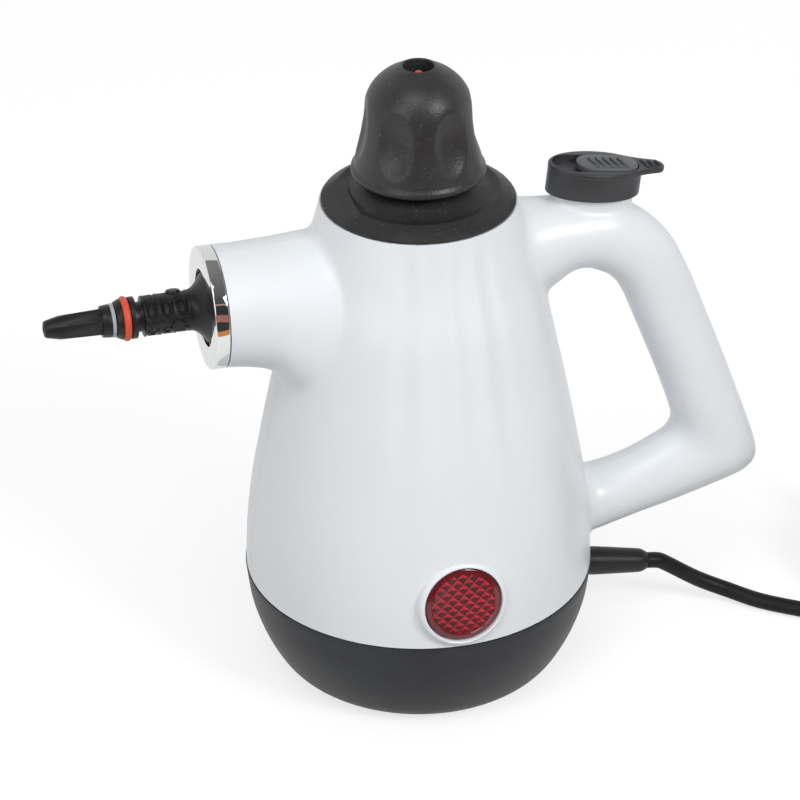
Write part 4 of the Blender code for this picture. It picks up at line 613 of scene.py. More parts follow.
# white housing: turned body, ribbed spout and handle, one skin, then two shells
bodySetup = {        # the outline is (share of the height, share of the radius)
    "radius": 0.065, "seam": 0.0423, "rim": 0.1925, "wall": 0.0025,
    "outline": (
        (-0.02, 0.9985), (0.0, 0.998), (0.08, 0.992), (0.166, 0.975), (0.266, 0.942),
        (0.465, 0.854), (0.664, 0.755), (0.764, 0.702), (0.864, 0.627), (1.0, 0.546),
        (1.03, 0.533)),
    "fluteDepth": 0.0012, "flutePitch": 14.7, "fluteCount": 4, "fluteEnd": 0.3, "fluteTop": 0.07,
    "grid": 0.0011, "blendReach": 0.006, "blendRounds": 34, "evenRounds": 5, "seamGap": 0.00008,
    "ribPoints": 48}
spoutSetup = {        # stations: share of the reach, then drop, half height and half width in radii
    "reach": 0.0746, "radius": 0.0222, "height": 0.16,
    "stations": (
        (1.05, 0.0, 1.0, 1.0), (1.0, 0.0, 1.0, 1.0), (0.885, 0.03, 1.02, 1.015),
        (0.775, 0.08, 1.085, 1.05), (0.73, 0.175, 1.185, 1.08), (0.66, 0.315, 1.345, 1.13),
        (0.56, 0.425, 1.475, 1.2), (0.4, 0.52, 1.58, 1.25))}
handleStations = (        # outer x, outer z, inner x, inner z, half width, in millimetres
    (30.0, 187.1, 30.0, 140.0, 21.0), (44.5, 185.4, 49.4, 151.6, 15.9),
    (52.3, 184.9, 57.0, 156.5, 14.6), (72.0, 183.0, 62.5, 156.6, 13.5),
    (80.5, 179.1, 67.5, 154.5, 13.2), (89.0, 172.5, 71.4, 152.3, 13.0),
    (96.2, 164.0, 75.2, 148.3, 12.9), (101.2, 154.4, 78.4, 142.7, 12.9),
    (105.6, 144.3, 81.6, 135.1, 12.9), (117.8, 113.2, 93.8, 104.0, 12.9),
    (125.6, 92.6, 99.4, 87.4, 13.0), (129.8, 80.9, 99.7, 84.6, 13.0),
    (132.9, 71.6, 99.0, 82.1, 13.0), (133.7, 65.5, 98.0, 80.5, 13.0),
    (131.3, 61.4, 96.9, 79.3, 13.0), (125.0, 58.2, 95.3, 78.0, 12.9),
    (102.6, 51.5, 88.0, 74.2, 12.5), (87.4, 47.8, 80.7, 71.2, 12.3),
    (76.0, 44.9, 71.0, 68.9, 12.6), (68.5, 43.1, 64.5, 69.0, 13.5),
    (52.0, 40.1, 50.0, 75.0, 17.0))


def fluteAt(turn, height, radius):
    s = bodySetup
    share = (height - s["seam"]) / (s["rim"] - s["seam"])
    pitch = math.radians(s["flutePitch"])
    side = abs(abs(turn) - math.pi / 2)
    if side > pitch * s["fluteCount"] / 2 or share < s["fluteEnd"]:
        return 0.0
    fade = min(1.0, (share - s["fluteEnd"]) / s["fluteEnd"])
    fade *= min(1.0, max(0.0, (1.0 - share) / s["fluteTop"]))
    return s["fluteDepth"] * fade * (1 - math.cos(math.tau * side / pitch)) / 2


def makeBodyForm():
    s = bodySetup
    line = [
        (share * s["radius"], s["seam"] + rise * (s["rim"] - s["seam"]))
        for rise, share in smoothOutline(s["outline"], 5)]
    form = turned("bodyForm", [(0, line[0][1]), *line, (0, line[-1][1])], 144)
    pushIn(form, fluteAt)
    return form


def ribbedForm(name, ribs):
    # circles set along the line as ribs, then bridged one to the next
    count = bodySetup["ribPoints"]
    rings = []
    for middle, turn, tall, wide in ribs:
        rings.append(newPiece(
            bpy.ops.mesh.primitive_circle_add, name, vertices=count, radius=1, location=middle,
            rotation=(0, turn, 0)))
        rings[-1].scale = (tall, wide, 1)
    form = joined(*rings)
    bake(form)
    editAll(form)
    order = [range(start, start + count) for start in range(0, len(rings) * count, count)]
    for here, after in zip(order, order[1:]):
        selectPoints(form, [*here, *after])
        bpy.ops.mesh.bridge_edge_loops()
    for end in (order[0], order[-1]):
        selectPoints(form, end)
        bpy.ops.mesh.edge_face_add()
    tidyShell()
    return form


def spoutRibs():
    s = spoutSetup
    return [(
        (-s["reach"] * place, 0, s["height"] - drop * s["radius"]), math.pi / 2,
        tall * s["radius"], wide * s["radius"])
        for place, drop, tall, wide in smoothLine(s["stations"], 3)]


def handleRibs():
    ribs = []
    for outX, outZ, inX, inZ, wide in smoothLine(handleStations, 4):
        spoke = Vector((outX - inX, 0, outZ - inZ)) / 2000
        middle = Vector((outX + inX, 0, outZ + inZ)) / 2000
        ribs.append((middle, math.atan2(-spoke.z, spoke.x), spoke.length, wide / 1000))
    return ribs


triggerSetup = {
    "reach": 0.0665, "top": 0.19725, "skirt": 0.1865, "topSlope": -0.145, "skirtSlope": -0.1215,
    "halfLength": 0.0177, "halfWidth": 0.0107, "wall": 0.0015, "skin": 0.0001, "edge": 0.0003,
    "pocketDepth": 0.0026, "web": 0.0015, "pocketHalfLength": 0.0163, "pocketHalfWidth": 0.0072,
    "clear": 0.005, "pad": 0.0046, "padFoot": 0.1909, "stem": 0.0016, "stemFoot": 0.1747,
    "tailReach": 0.0261, "tailRadius": 0.0042, "tailThickness": 0.0021, "tailEdge": 0.0006,
    "tailDegrees": 55, "tipDegrees": 66, "tailHollow": 0.0007, "travel": 0.003,
    "pedestalFoot": 0.16, "pedestalShrink": 0.0025, "pedestalDrop": 0.0075,
    "lean": 0.11, "leanDepth": 0.012}


def buttonTop(x):
    return triggerSetup["top"] + triggerSetup["topSlope"] * (x - triggerSetup["reach"])


def belowTop(drop):
    return lambda x: buttonTop(x) - drop


def buttonSkirt(x):
    return triggerSetup["skirt"] + triggerSetup["skirtSlope"] * (x - triggerSetup["reach"])


def buttonOval(shrink, steps):
    s = triggerSetup
    return oval(s["halfLength"] - shrink, s["halfWidth"] - shrink, steps, s["reach"])


def leanBack(piece):
    # the sides stand square to the sloping top, so they run to the spout as they go down
    for vert in piece.data.vertices:
        drop = min(buttonTop(vert.co.x) - vert.co.z, triggerSetup["leanDepth"])
        vert.co.x -= triggerSetup["lean"] * drop
    return piece


def makePedestalForm():
    s = triggerSetup
    return leanBack(prism(
        "pedestalForm", buttonOval(s["pedestalShrink"], 64), lambda x: s["pedestalFoot"],
        belowTop(s["pedestalDrop"])))


def nearness(form):
    points = [vert.co.copy() for vert in form.data.vertices]
    return BVHTree.FromPolygons(points, [tuple(face.vertices) for face in form.data.polygons])


def makeHousingForm():
    s = bodySetup
    parts = [
        makeBodyForm(), ribbedForm("spoutForm", spoutRibs()),
        ribbedForm("handleForm", handleRibs())]
    trees = [nearness(part) for part in parts]
    form = joined(*parts, makePedestalForm())
    form.name = "housingForm"
    applyModifier(form, "REMESH", mode="VOXEL", voxel_size=s["grid"], use_smooth_shade=True)
    print("housing skinned:", len(form.data.polygons), "faces")
    # points near two parts at once are smoothed most, so the parts flow into each other
    blend = form.vertex_groups.new(name="blend")
    reach = s["blendReach"]
    for vert in form.data.vertices:
        hits = [tree.find_nearest(vert.co, reach) for tree in trees]
        second = sorted(hit[3] if hit[0] else reach for hit in hits)[1]
        if second < reach:
            blend.add([vert.index], 1 - second / reach, "REPLACE")
    applyModifier(form, "SMOOTH", factor=0.5, iterations=s["evenRounds"])
    applyModifier(form, "SMOOTH", factor=0.5, iterations=s["blendRounds"], vertex_group="blend")
    return form


def cutAway(piece, place, normal, **sides):
    editAll(piece)
    bpy.ops.mesh.bisect(plane_co=place, plane_no=normal, **sides)
    bpy.ops.object.mode_set(mode="OBJECT")


def makeHousing():
    s = bodySetup
    form = makeHousingForm()
    cutAway(form, (0, 0, s["seam"]), (0, 0, 1), clear_inner=True)
    cutAway(form, (0, 0, s["rim"]), (0, 0, 1), clear_outer=True)
    cutAway(form, (-spoutSetup["reach"], 0, 0), (-1, 0, 0), clear_outer=True)
    applyModifier(form, "SOLIDIFY", thickness=s["wall"], offset=-1.0, use_rim=True)
    pick(form)
    bpy.ops.object.duplicate()
    other = bpy.context.object
    form.name, other.name = "housingLeft", "housingRight"
    cutAway(form, (0, -s["seamGap"], 0), (0, 1, 0), clear_outer=True, use_fill=True)
    cutAway(other, (0, s["seamGap"], 0), (0, 1, 0), clear_inner=True, use_fill=True)
    print("housing shells cut:", len(form.data.polygons), len(other.data.polygons))
    return form, other


housingLeft, housingRight = makeHousing()

# round indicator lens with sunk facets, in a raised lip of the left shell
lensSetup = {        # heights count from the face, along the lens's axis
    "place": (-0.0013, -0.0652, 0.0599), "tiltDegrees": 7.0, "radius": 0.0143, "way": 0.0154,
    "wayDepth": -0.02, "front": 0.005, "clear": 0.0121, "back": -0.0066, "side": -0.002,
    "dome": 0.0012, "sunk": 0.0001, "facets": 10, "facetSize": 0.00295, "facetHeight": -0.0008,
    "facetTurnDegrees": 45.0, "slab": 0.004, "cutFoot": -0.0025, "shadedAbove": 0.1,
    "lip": (
        (0.0146, -0.0062), (0.0172, -0.0062), (0.0169, -0.0028), (0.0166, -0.0017),
        (0.0162, -0.0009), (0.0156, -0.0004), (0.0150, -0.0002), (0.0147, -0.0004),
        (0.0146, -0.0008)),
    "rim": (
        (0.0119, -0.0050), (0.0143, -0.0050), (0.0143, -0.0018), (0.0141, -0.0014),
        (0.0137, -0.0011), (0.0130, -0.0009), (0.0122, -0.0007), (0.0119, -0.0010)),
    "flange": (
        (0, -0.0086), (0.0158, -0.0086), (0.0158, -0.0074), (0.0143, -0.0074), (0.0143, -0.0051),
        (0, -0.0051)),
    "flangeEdge": 0.0002}


def lensLine(distance):
    tilt = math.radians(lensSetup["tiltDegrees"])
    return Vector(lensSetup["place"]) + distance * Vector((0, -math.cos(tilt), math.sin(tilt)))


def lensFrame():
    # local Z looks out of the lens, local X runs along the body
    out = lensLine(1) - lensLine(0)
    along = Vector((1, 0, 0))
    return Matrix((along, out.cross(along), out)).transposed().to_4x4()


def makeFacets():
    s = lensSetup
    lens = newPiece(
        bpy.ops.mesh.primitive_grid_add, "indicatorLens", x_subdivisions=s["facets"],
        y_subdivisions=s["facets"], size=s["facets"] * s["facetSize"])
    editAll(lens)
    bpy.ops.mesh.poke(offset=s["facetHeight"])
    bpy.ops.mesh.select_all(action="SELECT")
    bpy.ops.mesh.extrude_region_move(TRANSFORM_OT_translate={"value": (0, 0, -s["slab"])})
    tidyShell()
    lens.rotation_euler.z = math.radians(s["facetTurnDegrees"])
    bake(lens)
    disc = rod("lensCut", (0, 0, s["cutFoot"]), (0, 0, s["front"]), s["clear"], 96)
    combine(lens, disc, "INTERSECT")
    lens.data.materials.append(finishes["red_lens"])
    lens.data.materials.append(finishes["lensPaintedShade"])
    for face in lens.data.polygons:        # painted shade: the lower two sides of each facet wear a darker red, standing in for the dark inside they would show
        face.material_index = int(face.normal.z > 0.5 and face.normal.y > s["shadedAbove"])
    for vert in lens.data.vertices:
        if vert.co.z > s["side"]:
            vert.co.z -= s["sunk"] + s["dome"] * (vert.co.xy.length / s["radius"]) ** 2
        else:
            vert.co.z = s["back"]
    return lens


def makeLens():
    s = lensSetup
    way = rod("lensWay", lensLine(s["wayDepth"]), lensLine(s["front"]), s["way"], 64)
    combine(housingLeft, way, "DIFFERENCE", "MANIFOLD")
    lip = turned("lensLip", s["lip"], 96, lensLine(0), lensLine(1) - lensLine(0))
    joined(housingLeft, lip)
    lens = makeFacets()
    rim = turned("lensRim", s["rim"])
    flange = turned("lensFlange", s["flange"], edge=s["flangeEdge"])
    for part in (rim, flange):
        part.data.materials.append(finishes["lensRim"])
        smoothShade(part)
    joined(lens, rim, flange)
    lens.data.transform(Matrix.Translation(lensLine(0)) @ lensFrame())
    declare(lens, "body", "red_lens", "indicator_lens")


makeLens()
print("lens made")

# screw posts inside the shells, wells for the screws on the right side, and the lever's pivot
postSetup = {        # screws: x, z, reach; way, well and shoulder belong to the screws' heads
    "screws": (
        (-0.0620, 0.148, 0.0168), (0.0835, 0.1545, 0.0108), (0.1085, 0.1014, 0.0108),
        (0.0880, 0.0604, 0.0108)),
    "gap": 0.0002, "boss": 0.0044, "hole": 0.0015, "holeDepth": 0.0083, "way": 0.0016,
    "well": 0.0033, "wellTop": 0.035, "shoulder": 0.0062, "overlap": 0.0006, "edge": 0.0002,
    "pivotPlace": (0.048, 0.1695), "pivot": (
        (0.0018, 0.0047), (0.0038, 0.0047), (0.0038, 0.0140), (0, 0.0140), (0, 0.0088),
        (0.0018, 0.0088))}


def post(x, z, side, outline):
    # a moulded post that points to the other shell
    tube = turned("post", outline, 32, (x, 0, z), (0, side, 0), postSetup["edge"])
    smoothShade(tube)
    return tube


def finishShells():
    s = postSetup
    hole, boss, way, well, gap = (s[key] for key in ("hole", "boss", "way", "well", "gap"))
    leftPosts, rightPosts = [], []
    for x, z, reach in s["screws"]:
        leftPosts.append(post(x, z, -1, (
            (hole, gap), (boss, gap), (boss, reach), (0, reach), (0, s["holeDepth"]),
            (hole, s["holeDepth"]))))
        foot = reach + s["overlap"]
        rightPosts.append(post(x, z, 1, (
            (way, gap), (boss, gap), (boss, foot), (well, foot), (well, s["shoulder"]),
            (way, s["shoulder"]))))
        cut = rod("well", (x, s["shoulder"], z), (x, s["wellTop"], z), well, 48)
        combine(housingRight, cut, "DIFFERENCE", "MANIFOLD")
    for shell, node, side, posts in (
            (housingLeft, "housing_left", -1, leftPosts),
            (housingRight, "housing_right", 1, rightPosts)):
        posts.append(post(*s["pivotPlace"], side, s["pivot"]))
        editAll(shell)
        bpy.ops.mesh.remove_doubles(threshold=shading["slit"])
        bpy.ops.mesh.fill_holes(sides=shading["slitSides"])
        bpy.ops.object.mode_set(mode="OBJECT")
        smoothShade(shell, shading["shellDegrees"])
        wear(joined(shell, *posts), "body", node, degrees=None)


finishShells()
print("housing shells done")

# grey base: one turned cup with screw posts, a notch for the lens and a hole for the cord
baseSetup = {        # the outline is (share of the height, share of the radius)
    "radius": 0.065, "height": 0.042, "wall": 0.0025, "floor": 0.003,
    "outline": (
        (0.0, 0.695), (0.05, 0.757), (0.13, 0.817), (0.25, 0.868), (0.45, 0.928), (0.7, 0.977),
        (1.0, 1.003)),
    "footRise": 0.0006, "footIn": 0.006, "footEdge": 0.0045, "floorIn": 0.002, "floorRound": 0.001,
    "lipOuter": 0.06207, "lipInner": 0.06027, "lipTop": 0.046, "edge": 0.0003,
    "posts": 3, "firstPost": 90, "postCircle": 0.0330, "postFoot": 0.0015, "postTop": 0.0497,
    "postRadius": 0.005, "wellFoot": -0.01, "wellRadius": 0.0034, "shoulder": 0.0457,
    "wayRadius": 0.0019, "wayTop": 0.06,
    "lensNotch": (-0.026, 0.005, 0.0162), "cordHole": (-0.0065, 0.03, 0.0058)}


def makeBase():
    s = baseSetup
    outer = [
        (share * s["radius"], rise * s["height"])
        for rise, share in smoothOutline(s["outline"], 4)]
    inner = [
        (min(r - s["wall"], s["lipInner"]), h) for r, h in reversed(outer)
        if h > s["floor"] + s["floorRound"]]
    foot = outer[0][0]
    outline = [
        (0, s["footRise"]), (foot - s["footIn"], s["footRise"]), (foot - s["footEdge"], 0.0),
        *outer, (s["lipOuter"], s["height"]), (s["lipOuter"], s["lipTop"]),
        (s["lipInner"], s["lipTop"]), *inner, (inner[-1][0] - s["floorIn"], s["floor"]),
        (0, s["floor"])]
    base = turned("baseCup", outline, 128, edge=s["edge"])
    up = Vector((0, 0, 1))
    for number in range(s["posts"]):
        turn = math.radians(s["firstPost"]) + math.tau * number / s["posts"]
        place = s["postCircle"] * compass(turn)
        for low, high, radius, steps, operation in (
                (s["postFoot"], s["postTop"], s["postRadius"], 32, "UNION"),
                (s["wellFoot"], s["shoulder"], s["wellRadius"], 32, "DIFFERENCE"),
                (0, s["wayTop"], s["wayRadius"], 24, "DIFFERENCE")):
            tool = rod("post", place + up * low, place + up * high, radius, steps)
            combine(base, tool, operation)
    for key, line, steps in (("lensNotch", lensLine, 64), ("cordHole", glandLine, 48)):
        start, end, radius = s[key]
        combine(base, rod(key, line(start), line(end), radius, steps), "DIFFERENCE")
    wear(base, "body", "base_cup", degrees=30.0)


makeBase()
print("base made")

# speckled collar round the filler, with a ridge, a dish and a low cone under the cap
collarSetup = {
    "base": 0.1925, "rim": 0.03499, "ridge": 0.0293, "cone": 0.0203, "well": 0.0164,
    "hole": 0.0137, "skirt": 0.03219,
    "outline": (
        ("rim", 0, 0.0003), ("rim", 0, 0.0008), ("rim", -0.0004, 0.0013),
        ("ridge", 0.0006, 0.0044), ("ridge", 0, 0.0047), ("ridge", -0.0006, 0.0046),
        ("ridge", -0.0022, 0.0042), ("ridge", -0.0034, 0.0042), ("cone", 0.0042, 0.0047),
        ("cone", 0.0027, 0.0055), ("cone", 0.0013, 0.0066), ("cone", 0, 0.0077),
        ("cone", -0.0006, 0.0079), ("well", 0.0006, 0.0079), ("well", 0, 0.0073),
        ("well", 0, 0.0007), ("well", -0.0004, 0.0003), ("hole", 0.0006, 0.0001),
        ("hole", 0, -0.0005), ("hole", 0, -0.0022), ("skirt", -0.0022, -0.0022),
        ("skirt", -0.0022, -0.0065), ("skirt", 0, -0.0065), ("skirt", 0, 0.0003)),
    "straight": 0.0255, "straightFrom": 0.0253, "straightTo": 0.0303, "straightAbove": 0.0040,
    "dishFoot": 0.0248}


def creaseAt(turn, height, radius):
    # the ridge runs straight across on the spout side
    s = collarSetup
    if height < s["straightAbove"] or not s["straightFrom"] < radius < s["straightTo"]:
        return 0.0
    reach = s["straight"] / max(0.001, -math.cos(turn))
    return min(radius - s["dishFoot"], max(0.0, s["ridge"] - reach))


def makeCollar():
    collar = turned("fillCollar", profile(collarSetup), 144)
    pushIn(collar, creaseAt)
    settle(collar, (0, 0, collarSetup["base"]))
    wear(collar, "body", "fill_collar", finish="collarBlack", degrees=24.0)


makeCollar()
print("collar made")

# twist cap: bell with six finger dimples, and the safety pin that looks out of its top
bellSetup = {        # the outline and the foot's radii are shares of radius and height
    "radius": 0.024, "height": 0.0525, "hole": 0.0055, "holeEdge": 0.0003, "wall": 0.0023,
    "outline": (
        (0.262, 0.9985), (0.383, 0.966), (0.521, 0.928), (0.65, 0.872), (0.733, 0.815),
        (0.783, 0.755), (0.808, 0.690), (0.835, 0.594), (0.873, 0.484), (0.908, 0.393),
        (0.937, 0.330), (0.968, 0.271), (0.998, 0.230)),
    "foot": (
        (1.0, 0.0015), (1.005, 0.0009), (1.006, 0.0005), (1.003, 0.0), (0.996, -0.0004),
        (0.985, -0.0006)),
    "footStart": 0.0018, "wallStart": 0.002, "wallEnd": 0.043, "wallNear": 0.018,
    "core": (
        (0.0115, 0.0435), (0.0115, 0.0305), (0.0090, 0.0305), (0.0090, 0.0447), (0.0055, 0.0447)),
    "dimples": 6, "dimpleTurnDegrees": 50.0, "dimpleDepth": 0.0023, "dimpleMiddle": 0.0295,
    "dimpleHalfHeight": 0.0118, "dimpleHalfWidth": 0.0066, "dimpleEdge": 0.06,
    "dimplePower": 2.6, "dimpleFade": 0.25, "dimpleArc": 0.8, "skin": 0.0008, "topHole": 0.012}
pinOutline = (
    (0, 0.0120), (0.0016, 0.0120), (0.0016, 0.0220), (0.0032, 0.0220), (0.0032, 0.0250),
    (0.0016, 0.0250), (0.0016, 0.0491), (0.001472, 0.0497), (0.00112, 0.0501), (0.00056, 0.0503),
    (0, 0.0503))


def dimpleAt(turn, height):
    s = bellSetup
    near = math.remainder(turn - math.radians(s["dimpleTurnDegrees"]), math.tau / s["dimples"])
    across = near * s["radius"] * s["dimpleArc"] / s["dimpleHalfWidth"]
    rise = (height - s["dimpleMiddle"]) / s["dimpleHalfHeight"]
    away, edge, power = math.hypot(across, rise), s["dimpleEdge"], s["dimplePower"]
    if away >= 1 + edge:
        return 0.0
    if away > 1 - edge:        # soft edge round each hollow
        share = (1 + edge - away) / (2 * edge)
        return s["dimpleDepth"] * (1 - (1 - edge) ** power) * share * share
    return s["dimpleDepth"] * (1 - away ** power) * (1 - s["dimpleFade"] * max(0.0, rise))


def outlineRadius(outline, height):
    for (r1, h1), (r2, h2) in zip(outline, outline[1:]):
        if h2 <= height <= h1 and h1 > h2:
            return r2 + (r1 - r2) * (height - h2) / (h1 - h2)
    return 0.0


def makeBell():
    s = bellSetup
    outer = [(s["hole"], s["height"] - s["holeEdge"]), (s["hole"] + s["holeEdge"], s["height"])]
    outer += [
        (share * s["radius"], rise * s["height"])
        for share, rise in smoothOutline(s["outline"], 4)]
    foot = outer[-1][1]
    outer = [point for point in outer if point[1] > foot + s["footStart"]]
    outer += [(s["radius"] * share, foot + rise) for share, rise in s["foot"]]
    wall = [
        (r - s["wall"] - s["dimpleDepth"], h) for r, h in reversed(outer)
        if foot + s["wallStart"] < h < s["wallEnd"] and r > s["wallNear"]]
    inner = [
        (s["radius"] - s["wall"], outer[-1][1]), *wall, (wall[-1][0], s["core"][0][1]), *s["core"]]
    bell = turned("capBell", outer + inner, 144)

    def depthAt(turn, height, radius):
        near = radius > outlineRadius(outer, height) - s["skin"] and radius > s["topHole"]
        return dimpleAt(turn, height) if near else 0.0

    pushIn(bell, depthAt)
    settle(bell, (0, 0, collarSetup["base"]))
    wear(bell, "cap_grip", "cap_bell", degrees=40.0)


makeBell()
wear(turned("reliefPin", pinOutline, 40, (0, 0, collarSetup["base"])), "safety_pin", "relief_pin")
print("twist cap made")

# chrome bezel and stepped nozzle, drawn upright and then laid along the spout
spoutFront = Vector((-spoutSetup["reach"], 0, spoutSetup["height"]))
bezelSetup = {
    "outline": (
        (0.014, 0.0038), (0.014, 0.0054), (0.0223, 0.0054), (0.0223, 0.0003), (0.0189, 0.0003),
        (0.0189, -0.0015), (0.0173, -0.0015), (0.0173, 0.0038)),
    "edge": 0.0005}
nozzleSetup = {        # flare: (share of the run, share of the fall from base to neck)
    "base": 0.0128, "neck": 0.0074, "back": -0.0015, "flareStart": 0.0044, "flareEnd": 0.0102,
    "flare": ((0.0, 0.0), (0.12, 0.12), (0.28, 0.38), (0.5, 0.66), (0.74, 0.88), (1.0, 1.0)),
    "neckEnd": 0.0276, "neckRing": 0.0002, "skin": 0.0001,
    "steps": (
        (0.0074, 0.0276), (0.0054, 0.0276), (0.0054, 0.0301), (0.0076, 0.0301), (0.0076, 0.0322),
        (0.0048, 0.0322), (0.0048, 0.0354), (0.0074, 0.0354), (0.0064, 0.0374), (0.0044, 0.0374),
        (0.0044, 0.0394), (0.006, 0.0394), (0.00567, 0.0424), (0, 0.0424)),
    "tipFlats": ((0, 0.0414), (0.0054, 0.0414), (0.004536, 0.068), (0, 0.068)),
    "tipCone": (
        (0, 0.0364), (0.00648, 0.0364), (0.00648, 0.04788), (0.0032, 0.0620), (0.0029, 0.0627),
        (0.0024, 0.063), (0, 0.063)),
    "bore": 0.0015, "boreStart": -0.01, "boreEnd": 0.08, "edge": 0.0002,
    "rows": (0.0138, 0.0193, 0.0248), "pockets": 4, "pocketTurnDegrees": 135.6, "soft": 0.0003,
    "pocketRun": 0.00245, "pocketWide": 0.0023, "pocketDepth": 0.0006, "ringShare": 0.85,
    "slotRun": 0.0016, "slotRim": 0.0015, "slotWide": 0.0011, "slotDepth": 0.0013,
    "stud": 0.0026, "studPlace": 0.0157, "studRoot": 0.0048, "studReach": 0.0082,
    "studEdge": 0.0005, "studTurnsDegrees": (78.0, 198.0, 318.0),
    "oRing": 0.0015, "oRingMiddle": 0.0066, "oRingHeight": 0.0338, "oRingSquash": 0.95,
    "sealRing": (
        (0.0047, 0.0377), (0.006, 0.0377), (0.0062, 0.0384), (0.006, 0.0391), (0.0047, 0.0391))}


def easeBetween(value, low, high):
    share = min(1.0, max(0.0, (value - low) / (high - low)))
    return share * share * (3 - 2 * share)


def pocketAt(turn, height, radius):
    # oval pocket with a raised ring in it and a deeper slot inside the ring
    s = nozzleSetup
    if radius < s["neck"] - s["skin"] or not s["flareEnd"] < height < s["neckEnd"] - s["skin"]:
        return 0.0
    soft, wide, slot = s["soft"], s["pocketWide"], s["slotWide"]
    along = height - min(s["rows"], key=lambda place: abs(place - height))
    turn -= math.radians(s["pocketTurnDegrees"])
    across = abs(s["neck"] * math.remainder(turn, math.tau / s["pockets"]))
    outer, inner = (
        math.hypot(max(0.0, across - run), along) for run in (s["pocketRun"], s["slotRun"]))
    ring = easeBetween(inner, slot, slot + soft)
    ring *= 1 - easeBetween(inner, s["slotRim"], s["slotRim"] + soft)
    depth = s["pocketDepth"] * (1 - easeBetween(outer, wide - soft, wide))
    slotDepth = s["slotDepth"] * (1 - easeBetween(inner, slot - soft, slot))
    return max(depth * (1 - s["ringShare"] * ring), slotDepth)


def layForward(piece, node, **looks):
    # local Z to the front of the spout, local X up
    out = Matrix(((0, 0, -1), (0, -1, 0), (-1, 0, 0))).to_4x4()
    piece.data.transform(Matrix.Translation(spoutFront) @ out)
    wear(piece, "body", node, **looks)


def makeNozzle():
    s = nozzleSetup
    run, fall = s["flareEnd"] - s["flareStart"], s["base"] - s["neck"]
    outline = [(0, s["back"]), (s["base"], s["back"])]
    outline += [
        (s["base"] - fall * down, s["flareStart"] + run * along)
        for along, down in smoothOutline(s["flare"], 4)]
    neck = s["neckEnd"] - s["flareEnd"]
    rings = round(neck / s["neckRing"])
    outline += [(s["neck"], s["flareEnd"] + neck * step / rings) for step in range(1, rings)]
    nozzle = turned("nozzleBody", outline + list(s["steps"]), 240, edge=s["edge"])
    pushIn(nozzle, pocketAt)
    root = Vector((0, 0, s["studPlace"]))
    for degrees in s["studTurnsDegrees"]:
        out = compass(math.radians(degrees))
        combine(nozzle, rod(
            "stud", root + out * s["studRoot"], root + out * s["studReach"], s["stud"], 48,
            s["studEdge"]), "UNION", "MANIFOLD")
    # six flats that run out into a cone, as on a sharpened pencil
    tip = turned("tipFlats", s["tipFlats"], 6)
    combine(tip, turned("tipCone", s["tipCone"], 64), "INTERSECT")
    combine(nozzle, tip, "UNION", "MANIFOLD")
    bore = rod("bore", (0, 0, s["boreStart"]), (0, 0, s["boreEnd"]), s["bore"], 32)
    combine(nozzle, bore, "DIFFERENCE", "MANIFOLD")
    layForward(nozzle, "nozzle", degrees=40.0)


def makeNozzleRings():
    s = nozzleSetup
    ring = newPiece(
        bpy.ops.mesh.primitive_circle_add, "nozzleORing", vertices=24, radius=s["oRing"],
        location=(s["oRingMiddle"], 0, s["oRingHeight"]), rotation=(math.pi / 2, 0, 0))
    ring.scale.y = s["oRingSquash"]
    bake(ring)
    editAll(ring)
    layForward(spun(ring, 96), "nozzle_o_ring")
    layForward(turned("nozzleSealRing", s["sealRing"], 64, edge=s["edge"]), "nozzle_seal_ring")


bezel = turned(
    "spoutBezel", bezelSetup["outline"], 128, spoutFront, (-1, 0, 0), bezelSetup["edge"], 4)
wear(bezel, "body", "spout_bezel", degrees=30.0)
makeNozzle()
makeNozzleRings()
print("nozzle made")

# thumb button with its tail, and the lock slider in the button's pocket
sliderSetup = {
    "halfLength": 0.0115, "halfWidth": 0.0064, "middle": 0.0044, "proud": 0.0006, "gap": 0.0003,
    "edge": 0.0005, "ribs": 5, "ribPitch": 0.00278, "ribStart": -0.0055, "ribHalfLength": 0.00242,
    "ribAside": 0.0003, "ribRadius": 0.00068, "ribSkewDegrees": 13.0, "dotAside": 0.0008,
    "dotAcross": -0.0038, "dotRadius": 0.00062, "dotWire": 0.0003, "ribLift": 0.0008,
    "dotLift": 0.0007}
tailSetup = {
    "ribs": 3, "dots": 2, "start": 0.0194, "pitch": 0.0025, "ribBack": 0.0006,
    "ribHalfLength": 0.0022, "ribShorter": 0.0004, "dotAcross": -0.0024, "lift": 0.0001}


def tailOutline():
    s = triggerSetup
    start, tip = math.radians(s["tailDegrees"]), math.radians(s["tipDegrees"])
    body = [
        (s["reach"] + s["halfLength"] * across, s["halfWidth"] * along)
        for across, along in arc(0, 1, start, math.tau - start, 48)]
    end = arc(s["reach"] + s["tailReach"] - s["tailRadius"], s["tailRadius"], -tip, tip, 16)
    # the sides draw in with a light hollow before the tip
    side = []
    for share in (0.2, 0.4, 0.6, 0.8):
        x, y = Vector(body[-1]).lerp(Vector(end[0]), share)
        side.append((x, y + s["tailHollow"] * math.sin(math.pi * share)))
    return body + side + end + [(x, -y) for x, y in reversed(side)]


def onTop(piece):
    # lays a piece drawn at height zero on the sloping top of the button
    for vert in piece.data.vertices:
        vert.co.z += buttonTop(vert.co.x)
    smoothShade(piece, shading["ribDegrees"])
    return piece


def ribBar(x, halfLength, lift):
    # a ball drawn out to a low bar with round ends
    s = sliderSetup
    bar = newPiece(
        bpy.ops.mesh.primitive_uv_sphere_add, "rib", segments=16, ring_count=12,
        radius=s["ribRadius"])
    for vert in bar.data.vertices:
        vert.co.y += math.copysign(halfLength, vert.co.y) if abs(vert.co.y) > 1e-6 else 0
    bar.rotation_euler.z = math.radians(s["ribSkewDegrees"])
    bar.location = (x, s["ribAside"], lift)
    bake(bar)
    return onTop(bar)


